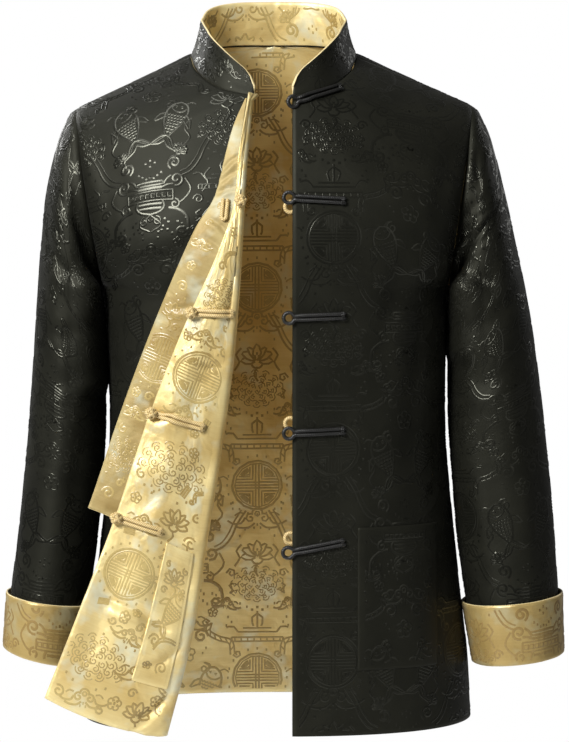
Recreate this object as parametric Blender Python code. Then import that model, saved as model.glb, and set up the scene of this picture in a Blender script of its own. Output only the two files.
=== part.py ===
"""A reversible tang jacket, worn open and held in the hollow shape that its cut gives it.

Units are metres, +Z is up, the front faces -Y and the wearer's left is +X. The origin is in the
middle of the neck, at the height where the collar starts at the sides.

Each cloth panel is a wall on one outer surface. That surface is a grid of points, and every wall
is the stretch between two depths under it, so that the black cloth, the gold lining and what is
sewn on them follow each other without touching. Panels that share a seam share its points.
"""

import math

import bpy
import numpy as np
from mathutils import Vector
from mathutils.bvhtree import BVHTree

# Cloth thickness and the gaps between the layers.
CLOTH = 0.0012
LAYER_GAP = 0.0003
LINING = 0.0010
SEAM_GAP = 0.0002
LINING_TOP = CLOTH + LAYER_GAP
LINING_BOTTOM = LINING_TOP + LINING
SINGLE_CLOTH = 0.0020
STEEPEST_MITRE = 1.5
# How many gaps a corner point may be drawn in.
CORNER_REACH = 1.42

# How many stretches each panel has.
LOWER_ROWS = 6
UPPER_ROWS = 7
NECK_ROWS = 3
PANEL_COLUMNS = 7
ROLL_COLUMNS = 4
FLAP_COLUMNS = 4
COLLAR_ROWS = 2
STAND_ROWS = 8
SEARCH_STEPS = 40
SMALL_STEP = 0.004

# Heights and widths of the body.
HEM_Z = -0.732
ARMPIT_Z = -0.253
SHOULDER_POINTS = {1: (0.218, 0.0, -0.055), -1: (0.218, 0.0, -0.059)}
NECK_POINT = (0.092, 0.0, -0.002)
SHOULDER_BULGE = 0.001
LEFT_EDGE_X = 0.0205
ARMHOLE_DEPTH = 0.062

# The body's sections from hem to armpit. shift is how far the section's middle is to +X.
BODY_COLUMNS = ("z", "half_width", "front", "back", "shift", "squareness")
BODY_SECTIONS = (
    (HEM_Z, 0.2158, 0.132, 0.118, 0.0040, 2.3),
    (-0.655, 0.2108, 0.130, 0.115, 0.0040, 2.3),
    (-0.580, 0.2020, 0.127, 0.110, 0.0040, 2.3),
    (-0.500, 0.1932, 0.124, 0.103, 0.0042, 2.35),
    (-0.420, 0.1862, 0.122, 0.098, 0.0042, 2.4),
    (-0.335, 0.1866, 0.125, 0.104, 0.0033, 2.5),
    (ARMPIT_Z, 0.1890, 0.130, 0.116, 0.0015, 2.6),
)

# The centre front and the centre back from the armpit's level to the neck, then the neckline round
# to the shoulder seam. Both run in equal steps.
CENTRE_FRONT = ((0.130, ARMPIT_Z), (0.132, -0.205), (0.127, -0.155), (0.113, -0.105), (0.090, -0.047))
CENTRE_BACK = ((0.116, ARMPIT_Z), (0.121, -0.185), (0.116, -0.115), (0.098, -0.048), (0.072, 0.014))
FRONT_NECKLINE = (
    (0.0205, -0.090, -0.0470),
    (0.0580, -0.073, -0.0385),
    (0.0830, -0.040, -0.0205),
    NECK_POINT,
)
BACK_NECKLINE = (
    (0.0000, 0.072, 0.0140),
    (0.0480, 0.062, 0.0130),
    (0.0800, 0.036, 0.0070),
    NECK_POINT,
)

# The collar's upper edge, opposite the same steps of the neckline.
RIM_SIDE = (0.0805, 0.0, 0.0380)
FRONT_RIM = (
    (0.0235, -0.080, -0.0240),
    (0.0505, -0.067, -0.0010),
    (0.0705, -0.041, 0.0200),
    RIM_SIDE,
)
BACK_RIM = (
    (0.0000, 0.062, 0.0605),
    (0.0430, 0.055, 0.0590),
    (0.0715, 0.034, 0.0520),
    RIM_SIDE,
)
COLLAR_HOLLOW = 0.0015

# The right front is folded outward along fold_x, the line where it turns. Its free edge then lies at
# edge_x, edge_z. up is the share of the way along the centre edge from hem to neck.
FLAP_COLUMN_NAMES = ("up", "fold_x", "roll", "edge_x", "edge_y", "edge_z")
FLAP_SECTIONS = (
    (0.00, -0.1165, 0.0080, -0.2435, -0.146, -0.6870),
    (0.15, -0.0902, 0.0078, -0.2035, -0.142, -0.5870),
    (0.30, -0.0735, 0.0076, -0.1660, -0.137, -0.4890),
    (0.45, -0.0572, 0.0074, -0.1333, -0.133, -0.3918),
    (0.60, -0.0435, 0.0068, -0.0965, -0.136, -0.2980),
    (0.75, -0.0355, 0.0050, -0.0545, -0.142, -0.2040),
    (0.84, -0.0322, 0.0038, -0.0400, -0.134, -0.1567),
    (0.90, -0.0298, 0.0032, -0.0360, -0.122, -0.1080),
    (1.00, -0.0235, 0.0025, -0.0272, -0.0975, -0.0455),
)
FLAP_BULGE = 0.006
FULL_BULGE_WIDTH = 0.08
HEM_SAG = 0.005
HEM_SAG_REACH = 0.2

# The strip behind the right front's free edge: how far it reaches past that edge, and back.
STAND_COLUMN_NAMES = ("up", "past", "back")
STAND_SECTIONS = (
    (0.29, 0.031, 0.004),
    (0.45, 0.031, 0.008),
    (0.60, 0.032, 0.010),
    (0.75, 0.033, 0.010),
    (0.90, 0.0145, 0.004),
    (0.955, 0.009, 0.002),
)
STAND_UNDER = 0.18
STAND_MIDDLE_BACK = 0.35
STAND_GAP = 0.0009

# Each sleeve from armhole to wrist, by the points on its outer and its inner side, its half depth
# from front to back and how far it swings forward. The first row is the armhole.
SLEEVE_COLUMN_NAMES = ("outer_x", "outer_z", "inner_x", "inner_z", "half_depth", "forward")
LEFT_SLEEVE = (
    (0.2180, -0.055, 0.1905, ARMPIT_Z, ARMHOLE_DEPTH, 0.000),
    (0.2325, -0.077, 0.2005, -0.263, 0.066, 0.000),
    (0.2430, -0.107, 0.1957, -0.279, 0.069, 0.002),
    (0.2550, -0.154, 0.1937, -0.299, 0.071, 0.004),
    (0.2680, -0.212, 0.1928, -0.325, 0.070, 0.007),
    (0.2830, -0.288, 0.1922, -0.361, 0.067, 0.010),
    (0.2940, -0.366, 0.1930, -0.407, 0.064, 0.014),
    (0.3032, -0.447, 0.1970, -0.464, 0.061, 0.018),
    (0.3098, -0.522, 0.2030, -0.532, 0.059, 0.021),
    (0.3145, -0.590, 0.2125, -0.601, 0.058, 0.024),
    (0.3190, -0.654, 0.2215, -0.666, 0.057, 0.026),
)
RIGHT_SLEEVE = (
    (0.2180, -0.059, 0.1875, ARMPIT_Z, ARMHOLE_DEPTH, 0.000),
    (0.2310, -0.079, 0.1973, -0.263, 0.0656, 0.000),
    (0.2410, -0.108, 0.1922, -0.279, 0.0683, 0.0024),
    (0.2510, -0.154, 0.1892, -0.299, 0.0692, 0.0044),
    (0.2568, -0.212, 0.1873, -0.325, 0.0674, 0.0072),
    (0.2622, -0.288, 0.1860, -0.361, 0.064, 0.010),
    (0.2672, -0.366, 0.1858, -0.407, 0.061, 0.014),
    (0.2742, -0.447, 0.1885, -0.462, 0.058, 0.018),
    (0.2818, -0.522, 0.1950, -0.530, 0.056, 0.021),
    (0.2910, -0.590, 0.2045, -0.602, 0.055, 0.024),
    (0.2975, -0.648, 0.2135, -0.668, 0.055, 0.026),
)

# The turned-back cuffs, over the last stretch of the sleeve.
CUFF_STARTS = 9.02
CUFF_ROWS = 3
CUFF_LIFT_TOP = 0.0030
CUFF_LIFT_HEM = 0.0006
CUFF_DROP = 0.0025

# Patch pockets. The left one is given by its corners in the front view, the right one along the flap.
LEFT_POCKET = {"inner_x": 0.0905, "outer_x": 0.1770, "top_z": -0.509, "bottom_z": -0.662}
RIGHT_POCKET = {"up_low": 0.075, "up_high": 0.287, "near": 0.03, "far": 0.36}
POCKET_CLOTH = 0.0014
POCKET_LIFT = 0.0009
SIDE_POCKET_LIFT = 0.0006
POCKET_COLUMNS = 10
POCKET_ROWS = 6

# Frogs: flat pairs of cord that end in a loop or a knot. Places are x and z in the front view.
CORD_RADIUS = 0.0021
CORD_SPACING = 0.0025
CORD_LIFT = CORD_RADIUS + 0.0008
TOP_CORD_LIFT = CORD_RADIUS + 0.0006
EYE_RADIUS = 0.0058
EYE_TURNS = (115, 60, 0, -60, -115)
LEG_POINTS = 5
EDGE_MARGIN = 0.0015
FROG_LENGTH = 0.055
NECK_FROG = ((0.0720, -0.0385), (0.0250, -0.0530))
# Each frog's number, the height of its eye and of its tail, and how far its eye is past the edge.
BLACK_FROGS = (
    (2, -0.1560, -0.1590, 0.0055),
    (3, -0.2825, -0.2805, 0.0055),
    (4, -0.4060, -0.4040, 0.0055),
    (5, -0.5330, -0.5235, 0.0065),
)
GOLD_LOOPS = (
    (2, -0.1650, -0.1680, 0.0040),
    (4, -0.3960, -0.3950, 0.0040),
    (5, -0.5190, -0.5130, 0.0040),
)
NECK_EYE_REACH = 0.0045
NECK_FROG_LIFT = 0.0008
# Each knot's number, how far up the centre edge it is, how far in from the free edge, and the end of
# its pair of cords. The topmost pair hangs on the button stand instead, from TOP_CORD_START.
KNOTS = (
    (2, 0.838, 0.0045, (-0.0520, -0.1765)),
    (3, 0.635, 0.0015, (-0.0430, -0.2772)),
    (4, 0.464, 0.0015, (-0.0740, -0.3984)),
    (5, 0.292, 0.0015, (-0.1194, -0.5093)),
)
KNOT_RADIUS = 0.0062
KNOT_GAP = 0.0003
KNOT_CORD_START = 0.0060
TOP_CORD_START = (-0.0502, -0.1575)

BLACK = ("black_brocade", (0.012, 0.012, 0.010, 1.0), 0.45)
GOLD = ("gold_brocade", (0.72, 0.52, 0.22, 1.0), 0.42)
BLACK_CORD = ("black_cord", (0.010, 0.010, 0.009, 1.0), 0.55)
GOLD_CORD = ("gold_cord", (0.70, 0.50, 0.24, 1.0), 0.50)


def clear_scene():
    for thing in list(bpy.data.objects):
        bpy.data.objects.remove(thing, do_unlink=True)


def material_of(finish):
    name, colour, roughness = finish
    if name in bpy.data.materials:
        return bpy.data.materials[name]
    material = bpy.data.materials.new(name)
    material.use_nodes = True
    shader = material.node_tree.nodes["Principled BSDF"]
    shader.inputs["Base Color"].default_value = colour
    shader.inputs["Roughness"].default_value = roughness
    shader.inputs["Metallic"].default_value = 0.0
    return material


def smooth_through(knots, values, at):
    """The value at one place on a smooth curve through the values given at the knots."""
    knots = np.asarray(knots, float)
    values = np.asarray(values, float)
    slopes = np.gradient(values, knots, axis=0)
    k = int(np.clip(np.searchsorted(knots, at) - 1, 0, len(knots) - 2))
    step = knots[k + 1] - knots[k]
    t = (at - knots[k]) / step
    start = (1 + 2 * t) * (1 - t) ** 2 * values[k] + t * (1 - t) ** 2 * step * slopes[k]
    end = t * t * (3 - 2 * t) * values[k + 1] + t * t * (t - 1) * step * slopes[k + 1]
    return start + end


def even_through(points, t):
    """A point at the share t of the way along a curve whose points are in equal steps."""
    return smooth_through(np.linspace(0.0, 1.0, len(points)), points, t)


def row_of(sections, names, at):
    """The table's row at one place along its first column, by column name."""
    table = np.array(sections, float)
    return dict(zip(names, smooth_through(table[:, 0], table, at)))


def ease(t):
    return t * t * (3.0 - 2.0 * t)


def body_point(z, around, face, side, centre_x):
    """A point of the body's section at height z: around is 0 at the side seam and 1 at centre_x."""
    row = row_of(BODY_SECTIONS, BODY_COLUMNS, z)
    power = 2.0 / row["squareness"]
    reach = min(max(side * (centre_x - row["shift"]), 0.0) / row["half_width"], 1.0)
    angle = around * math.acos(reach ** (1.0 / power))
    depth = row["back"] if face == "back" else -row["front"]
    x = row["shift"] + side * row["half_width"] * abs(math.cos(angle)) ** power
    return np.array((x, depth * abs(math.sin(angle)) ** power, z))


def armhole_point(side, face, up):
    """A point on the armhole: up is 0 at the armpit and 1 at the shoulder point."""
    sleeve = LEFT_SLEEVE if side > 0 else RIGHT_SLEEVE
    turn = math.pi * (1.0 - up)
    return sleeve_point(sleeve, side, 0.0, turn if face == "front" else -turn)


def sleeve_point(sleeve, side, along, turn):
    """A point of the sleeve: along counts the table's rows, turn is 0 outside and positive in front."""
    table = np.array(sleeve, float)
    row = dict(zip(SLEEVE_COLUMN_NAMES, smooth_through(np.arange(len(table)), table, along)))
    outer = np.array((side * row["outer_x"], 0.0, row["outer_z"]))
    inner = np.array((side * row["inner_x"], 0.0, row["inner_z"]))
    across = (outer - inner) / 2.0
    centre = (outer + inner) / 2.0 + np.array((0.0, -row["forward"], 0.0))
    return centre + across * math.cos(turn) + np.array((0.0, -row["half_depth"] * math.sin(turn), 0.0))


def inner_line(side, face, up, centre_x):
    """The panel's inner edge above the armpit: the centre line, then the neckline."""
    turn_up = 1.0 - NECK_ROWS / UPPER_ROWS
    if up <= turn_up:
        line = CENTRE_BACK if face == "back" else CENTRE_FRONT
        depth, z = even_through(line, up / turn_up)
        return np.array((centre_x, depth if face == "back" else -depth, z))
    line = BACK_NECKLINE if face == "back" else FRONT_NECKLINE
    point = even_through(line, (up - turn_up) / (1.0 - turn_up))
    return point * np.array((side, 1.0, 1.0))


def shoulder_seam(side, across):
    point = (1.0 - across) * np.array(SHOULDER_POINTS[side]) + across * np.array(NECK_POINT)
    point[2] += SHOULDER_BULGE * 4.0 * across * (1.0 - across)
    return point * np.array((side, 1.0, 1.0))


def body_half_point(side, face, across, up):
    """A point of the plain half panel. across is 0 at the side and 1 in the middle. up is 0 at the
    hem, 1 at the armpit and 2 at the shoulder."""
    centre_x = 0.0 if face == "back" else side * LEFT_EDGE_X
    if up <= 1.0:
        z = HEM_Z + (ARMPIT_Z - HEM_Z) * up
        lean = body_lean(z) if face == "back" else 0.0
        return body_point(z, across, face, side, centre_x + lean)
    v = up - 1.0
    hu = ease(across)
    hv = ease(v)
    outer = armhole_point(side, face, v)
    lean = body_lean(ARMPIT_Z) if face == "back" else 0.0
    inner = inner_line(side, face, v, centre_x + lean * (1.0 - hv))
    low = body_point(ARMPIT_Z, across, face, side, centre_x + lean)
    high = shoulder_seam(side, across)
    # The four edges are blended, and the blend of the corners, which that counts twice, is taken off.
    outer_corners = (1 - hv) * armhole_point(side, face, 0.0) + hv * shoulder_seam(side, 0.0)
    inner_corners = (1 - hv) * inner_line(side, face, 0.0, centre_x + lean) + hv * shoulder_seam(side, 1.0)
    corners = (1 - hu) * outer_corners + hu * inner_corners
    return (1 - hu) * outer + hu * inner + (1 - hv) * low + hv * high - corners


def body_lean(z):
    return row_of(BODY_SECTIONS, BODY_COLUMNS, z)["shift"]


def up_steps():
    lower = np.linspace(0.0, 1.0, LOWER_ROWS + 1)
    upper = np.linspace(1.0, 2.0, UPPER_ROWS + 1)
    return list(lower) + list(upper[1:])


NECK_UP = 2.0 - NECK_ROWS / UPPER_ROWS


def seat_on(wall, x, z, lift, from_y=-1.0):
    """The point that far above a wall's facets, at this place in the front view. from_y is the side
    that it is looked at from."""
    look = Vector((0.0, 1.0 if from_y < -0.5 else -1.0, 0.0))
    spot, outward, _, _ = wall.ray_cast(Vector((x, from_y, z)), look)
    if spot is None:
        raise ValueError(f"nothing lies at {x:.3f}, {z:.3f}")
    return np.array(spot + outward * lift)


def centre_share(up):
    """How far along the centre edge from hem to neck a row lies."""
    if up <= 1.0:
        z = HEM_Z + (ARMPIT_Z - HEM_Z) * up
    else:
        z = even_through(CENTRE_FRONT, (up - 1.0) / (NECK_UP - 1.0))[1]
    return (z - HEM_Z) / (CENTRE_FRONT[-1][1] - HEM_Z)


def row_at_share(share):
    """The row that lies this far along the centre edge."""
    low = 0.0
    high = NECK_UP
    for _ in range(SEARCH_STEPS):
        middle = (low + high) / 2.0
        if centre_share(middle) < share:
            low = middle
        else:
            high = middle
    return (low + high) / 2.0


def right_front_point(across, up):
    """The right front's body part, which ends where its fold begins."""
    if up >= NECK_UP:
        return body_half_point(-1, "front", across, up)
    fold = row_of(FLAP_SECTIONS, FLAP_COLUMN_NAMES, centre_share(up))
    edge_x = fold["fold_x"] - fold["roll"]
    if up <= 1.0:
        return body_point(HEM_Z + (ARMPIT_Z - HEM_Z) * up, across, "front", -1, edge_x)
    if body_half_point(-1, "front", 1.0, up)[0] <= edge_x:
        return body_half_point(-1, "front", across, up)
    low = 0.5
    high = 1.0
    for _ in range(SEARCH_STEPS):
        middle = (low + high) / 2.0
        if body_half_point(-1, "front", middle, up)[0] < edge_x:
            low = middle
        else:
            high = middle
    return body_half_point(-1, "front", across * (low + high) / 2.0, up)


def roll_and_flap(up):
    """The fold and the folded-back part of one row, from the body to the free edge."""
    start = right_front_point(1.0, up)
    share = centre_share(up)
    roll = row_of(FLAP_SECTIONS, FLAP_COLUMN_NAMES, share)["roll"]
    points = []
    for k in range(1, ROLL_COLUMNS + 1):
        turn = math.pi * k / ROLL_COLUMNS
        points.append(start + np.array((roll * math.sin(turn), -roll * (1.0 - math.cos(turn)), 0.0)))
    return points + [flap_point(share, k / FLAP_COLUMNS) for k in range(1, FLAP_COLUMNS + 1)]


def flap_point(share, out):
    """A point of the folded-back part: share is 0 at the hem and 1 at the neck, out is 1 at the edge."""
    row = row_of(FLAP_SECTIONS, FLAP_COLUMN_NAMES, share)
    fold = right_front_point(1.0, row_at_share(share)) + np.array((0.0, -2.0 * row["roll"], 0.0))
    edge = np.array((row["edge_x"], row["edge_y"], row["edge_z"]))
    crown = 4.0 * out * (1.0 - out)
    bulge = FLAP_BULGE * min(1.0, np.linalg.norm(edge - fold) / FULL_BULGE_WIDTH) * crown
    sag = HEM_SAG * max(0.0, 1.0 - share / HEM_SAG_REACH) * crown
    return fold + (edge - fold) * out + np.array((0.0, -bulge, -sag))


def up_the_flap(share, out):
    """The way up along the folded-back part, for one small step."""
    return flap_point(min(share + SMALL_STEP, 1.0), out) - flap_point(max(share - SMALL_STEP, 0.0), out)


def flap_outward(share, out):
    """The direction out of the folded-back part's gold side, towards the front."""
    by_out = flap_point(share, out + SMALL_STEP) - flap_point(share, out - SMALL_STEP)
    outward = np.cross(by_out, up_the_flap(share, out))
    outward /= np.linalg.norm(outward)
    return outward if outward[1] < 0 else -outward


class Surface:
    """A grid of points whose outer side faces out, with the cells that are cloth."""

    def __init__(self, rows, wanted=lambda i, j: True, closed=False, turned=False):
        self.points = np.array([point for row in rows for point in row])
        columns = len(rows[0])
        first = {}
        same = [first.setdefault(tuple(np.round(point, 7)), k) for k, point in enumerate(self.points)]
        last = columns if closed else columns - 1
        self.cells = []
        for i in range(len(rows) - 1):
            for j in range(last):
                if not wanted(i, j):
                    continue
                k = (j + 1) % columns
                around = (i * columns + j, i * columns + k, (i + 1) * columns + k, (i + 1) * columns + j)
                cell = tuple(same[corner] for corner in around)
                self.cells.append(cell[::-1] if turned else cell)
        self.normals = None
        self.mitres = None

    def cell_normals(self):
        corners = self.points[np.array(self.cells)]
        return np.cross(corners[:, 2] - corners[:, 0], corners[:, 3] - corners[:, 1])


def join_normals(surfaces):
    """Gives each point its direction out of the cloth, shared by all surfaces that meet there."""
    sums = {}
    for surface in surfaces:
        for cell, normal in zip(surface.cells, surface.cell_normals()):
            unit = normal / np.linalg.norm(normal)
            for corner in cell:
                key = tuple(np.round(surface.points[corner], 6))
                sums.setdefault(key, []).append(unit)
    for surface in surfaces:
        surface.normals = np.zeros_like(surface.points)
        surface.mitres = np.ones(len(surface.points))
        for index, point in enumerate(surface.points):
            faces = np.array(sums.get(tuple(np.round(point, 6)), [(0.0, 0.0, 1.0)]))
            mean = faces.sum(axis=0)
            mean /= np.linalg.norm(mean)
            surface.normals[index] = mean
            surface.mitres[index] = min(STEEPEST_MITRE, 1.0 / max(1e-3, float((faces @ mean).mean())))


def edges_of(cells):
    """The directed edges that belong to one cell only."""
    directed = {(cell[k], cell[(k + 1) % 4]) for cell in cells for k in range(4)}
    return [edge for edge in directed if (edge[1], edge[0]) not in directed]


def wall_mesh(surface, top, bottom, gap=SEAM_GAP):
    """The closed wall between two depths under the surface, drawn in by the gap along its edges."""
    points = surface.points.copy()
    border = sorted(edges_of(surface.cells))
    shift = np.zeros_like(points)
    for start, end in border:
        along = points[end] - points[start]
        inward = np.cross(surface.normals[start] + surface.normals[end], along)
        inward *= gap / np.linalg.norm(inward)
        shift[start] += inward
        shift[end] += inward
    lengths = np.linalg.norm(shift, axis=1)
    scale = np.ones(len(points))
    moved = lengths > 1e-9
    # A point between two edges in line has been moved twice.
    scale[moved] = np.minimum(1.0, gap * CORNER_REACH / lengths[moved])
    points += shift * scale[:, None]
    reach = surface.normals * surface.mitres[:, None]
    used = sorted({corner for cell in surface.cells for corner in cell})
    place = {corner: k for k, corner in enumerate(used)}
    upper = points[used] - reach[used] * top
    lower = points[used] - reach[used] * bottom
    count = len(used)
    faces = []
    for cell in surface.cells:
        a, b, c, d = (place[corner] for corner in cell)
        faces += [(a, b, c), (a, c, d)]
        faces += [(count + a, count + c, count + b), (count + a, count + d, count + c)]
    for start, end in border:
        a = place[start]
        b = place[end]
        faces += [(a, count + a, count + b), (a, count + b, b)]
    return np.concatenate((upper, lower)), faces


def add_mesh(name, points, faces, finish):
    mesh = bpy.data.meshes.new(name)
    mesh.from_pydata([tuple(point) for point in points], [], faces)
    mesh.update()
    return add_object(name, mesh, finish)


def add_object(name, data, finish):
    thing = bpy.data.objects.new(name, data)
    thing.data.materials.append(material_of(finish))
    jacket.objects.link(thing)
    return thing


def add_wall(name, surface, top, bottom, finish):
    points, faces = wall_mesh(surface, top, bottom)
    add_mesh(name, points, faces, finish)
    return BVHTree.FromPolygons([tuple(point) for point in points], faces)


def add_cord(name, points, radius, finish):
    """A round cord along the points, with closed ends."""
    curve = bpy.data.curves.new(name, "CURVE")
    curve.dimensions = "3D"
    curve.bevel_depth = radius
    curve.bevel_resolution = 1
    curve.use_fill_caps = True
    spline = curve.splines.new("POLY")
    spline.points.add(len(points) - 1)
    for spot, point in zip(spline.points, points):
        spot.co = (*point, 1.0)
    return add_object(name, curve, finish)


def add_knot(name, centre, finish):
    bpy.ops.mesh.primitive_uv_sphere_add(segments=8, ring_count=6, radius=KNOT_RADIUS, location=centre)
    knot = bpy.context.active_object
    knot.name = name
    knot.data.name = name
    for home in list(knot.users_collection):
        home.objects.unlink(knot)
    knot.data.materials.append(material_of(finish))
    jacket.objects.link(knot)
    return knot


# The body's surfaces.


def left_front_surface():
    steps = np.linspace(0.0, 1.0, PANEL_COLUMNS + 1)
    rows = [[body_half_point(1, "front", across, up) for across in steps] for up in up_steps()]
    return Surface(rows, turned=True)


def right_front_surface():
    steps = np.linspace(0.0, 1.0, PANEL_COLUMNS + 1)
    rows = []
    for up in up_steps():
        row = [right_front_point(across, up) for across in steps]
        if up <= NECK_UP + 1e-9:
            row += roll_and_flap(min(up, NECK_UP))
        else:
            row += [row[-1]] * (ROLL_COLUMNS + FLAP_COLUMNS)
        rows.append(row)
    neck_row = LOWER_ROWS + UPPER_ROWS - NECK_ROWS
    return Surface(rows, wanted=lambda i, j: j < PANEL_COLUMNS or i < neck_row)


def back_surface():
    steps = np.linspace(0.0, 1.0, PANEL_COLUMNS + 1)
    rows = []
    for up in up_steps():
        left = [body_half_point(1, "back", across, up) for across in steps]
        right = [body_half_point(-1, "back", across, up) for across in steps]
        if up <= NECK_UP + 1e-9:
            middle = (left[-1] + right[-1]) / 2.0
            left[-1] = middle
            right[-1] = middle
        rows.append(left + right[::-1])
    # Below the neckline the two middle columns are one line, so the cell between them is left out.
    return Surface(rows, wanted=lambda i, j: j != PANEL_COLUMNS)


def turns_round():
    """The turns round a sleeve, in step with the rows of the fronts and the back at the armhole."""
    return [math.pi * (1.0 - k / UPPER_ROWS) for k in range(2 * UPPER_ROWS)]


def sleeve_surface(sleeve, side):
    turns = turns_round()
    rows = [[sleeve_point(sleeve, side, along, turn) for turn in turns] for along in range(len(sleeve))]
    return Surface(rows, closed=True, turned=side > 0)


def cuff_surface(sleeve, side):
    """The cuff's outer face: the sleeve's lower stretch, moved out, a little past the sleeve's end."""
    end = float(len(sleeve) - 1)
    rows = []
    for k in range(CUFF_ROWS + 1):
        share = k / CUFF_ROWS
        along = CUFF_STARTS + (end - CUFF_STARTS) * share
        lift = CUFF_LIFT_TOP + (CUFF_LIFT_HEM - CUFF_LIFT_TOP) * share + SINGLE_CLOTH
        row = []
        middle = (sleeve_point(sleeve, side, along, 0.0) + sleeve_point(sleeve, side, along, math.pi)) / 2.0
        for turn in turns_round():
            here = sleeve_point(sleeve, side, along, turn)
            out = (here - middle) / np.linalg.norm(here - middle)
            down = sleeve_point(sleeve, side, end, turn) - sleeve_point(sleeve, side, end - 1.0, turn)
            down /= np.linalg.norm(down)
            row.append(here + out * lift + down * CUFF_DROP * share)
        rows.append(row)
    return Surface(rows, closed=True, turned=side > 0)


def collar_surface():
    steps = np.linspace(0.0, 1.0, NECK_ROWS + 1)
    base = []
    rim = []
    for side in (1, -1):
        half = []
        for face, line, ts in (("front", FRONT_RIM, steps), ("back", BACK_RIM, steps[::-1][1:])):
            for t in ts:
                foot = body_half_point(side, face, 1.0, NECK_UP + t * (2.0 - NECK_UP))
                half.append((foot, even_through(line, t) * np.array((side, 1.0, 1.0))))
        ordered = half if side > 0 else half[::-1][1:]
        base += [foot for foot, _ in ordered]
        rim += [top for _, top in ordered]
    rows = []
    for i in range(COLLAR_ROWS + 1):
        share = i / COLLAR_ROWS
        row = []
        for foot, top in zip(base, rim):
            point = foot + (top - foot) * share
            inward = np.array((-point[0], -point[1], 0.0))
            inward /= np.linalg.norm(inward)
            row.append(point + inward * COLLAR_HOLLOW * 4.0 * share * (1.0 - share))
        rows.append(row)
    return Surface(rows)


def stand_surface():
    """The strip behind the free edge, from under the flap to past it. Its outer side faces forward."""
    rows = []
    for up in np.linspace(STAND_SECTIONS[0][0], STAND_SECTIONS[-1][0], STAND_ROWS + 1):
        row = row_of(STAND_SECTIONS, STAND_COLUMN_NAMES, up)
        edge = flap_point(up, 1.0)
        slope = up_the_flap(up, 1.0)
        past = np.array((-slope[2], 0.0, slope[0])) / math.hypot(slope[0], slope[2]) * row["past"]
        middle = edge + past / 2.0 + np.array((0.0, row["back"] * STAND_MIDDLE_BACK, 0.0))
        last = edge + past + np.array((0.0, row["back"], 0.0))
        behind = -flap_outward(up, 1.0) * STAND_GAP
        rows.append([point + behind for point in (flap_point(up, 1.0 - STAND_UNDER), edge, middle, last)])
    return Surface(rows, turned=True)


def left_pocket_surface():
    across = np.linspace(LEFT_POCKET["outer_x"], LEFT_POCKET["inner_x"], POCKET_COLUMNS + 1)
    upward = np.linspace(LEFT_POCKET["bottom_z"], LEFT_POCKET["top_z"], POCKET_ROWS + 1)
    lift = POCKET_LIFT + POCKET_CLOTH + SIDE_POCKET_LIFT
    rows = [[seat_on(walls["front_left"], x, z, lift) for x in across] for z in upward]
    return Surface(rows, turned=True)


def right_pocket_surface():
    ups = np.linspace(RIGHT_POCKET["up_low"], RIGHT_POCKET["up_high"], POCKET_ROWS + 1)
    outs = np.linspace(RIGHT_POCKET["near"], RIGHT_POCKET["far"], POCKET_COLUMNS // 2 + 1)
    lift = POCKET_LIFT + POCKET_CLOTH
    rows = []
    for up in ups:
        spots = [flap_point(up, out) for out in outs]
        rows.append([seat_on(walls["front_right_lining"], spot[0], spot[2], lift) for spot in spots])
    return Surface(rows, turned=True)


# The frogs.


def hairpin(end, start, reach, seat):
    """A cord's route: up one leg from the sewn end, round the eye and back down the other leg. seat
    lays a place in the front view on the cloth."""
    end = np.array(end)
    start = np.array(start)
    along = (start - end) / np.linalg.norm(start - end)
    aside = np.array((-along[1], along[0])) * CORD_SPACING
    places = [end + (start - end) * share for share in np.linspace(0.0, 1.0, LEG_POINTS)]
    first_leg = [seat(*(place + aside)) for place in places]
    second_leg = [seat(*(place - aside)) for place in places[::-1]]
    level = (first_leg[-1] + second_leg[0]) / 2.0
    toward = level - (first_leg[-2] + second_leg[1]) / 2.0
    toward /= np.linalg.norm(toward)
    rise = np.array((aside[0], 0.0, aside[1])) / CORD_SPACING
    centre = level + toward * reach
    eye = []
    for degrees in EYE_TURNS:
        turn = math.radians(degrees)
        eye.append(centre + EYE_RADIUS * (math.cos(turn) * toward + math.sin(turn) * rise))
    return first_leg + eye + second_leg


def add_left_frogs():
    def outside(x, z):
        return seat_on(walls["front_left"], x, z, CORD_LIFT)

    def neck_side(x, z):
        return seat_on(walls["front_left"], x, z, CORD_LIFT + NECK_FROG_LIFT)

    def inside(x, z):
        return seat_on(walls["front_left_lining"], x, z, CORD_LIFT, from_y=0.0)

    add_cord("frog_loop_1", hairpin(*NECK_FROG, NECK_EYE_REACH, neck_side), CORD_RADIUS, BLACK_CORD)
    for kind, table, seat, finish in (
        ("frog_loop", BLACK_FROGS, outside, BLACK_CORD),
        ("lining_loop", GOLD_LOOPS, inside, GOLD_CORD),
    ):
        for number, eye_z, tail_z, reach in table:
            tail = (LEFT_EDGE_X + FROG_LENGTH, tail_z)
            route = hairpin(tail, (LEFT_EDGE_X + EDGE_MARGIN, eye_z), reach, seat)
            add_cord(f"{kind}_{number}", route, CORD_RADIUS, finish)


def pair_of_cords(near, far, seat):
    """Two cords side by side that join round at the far end, as one route."""
    near = np.array(near)
    far = np.array(far)
    along = (near - far) / np.linalg.norm(near - far)
    aside = np.array((-along[1], along[0])) * CORD_SPACING
    places = [far + (near - far) * t for t in np.linspace(0.0, 1.0, LEG_POINTS)]
    upper = [seat(*(place + aside)) for place in places]
    lower = [seat(*(place - aside)) for place in places]
    back = upper[0] - upper[1]
    turn = (upper[0] + lower[0]) / 2.0 + back / np.linalg.norm(back) * CORD_SPACING
    return upper[::-1] + [turn] + lower


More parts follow.
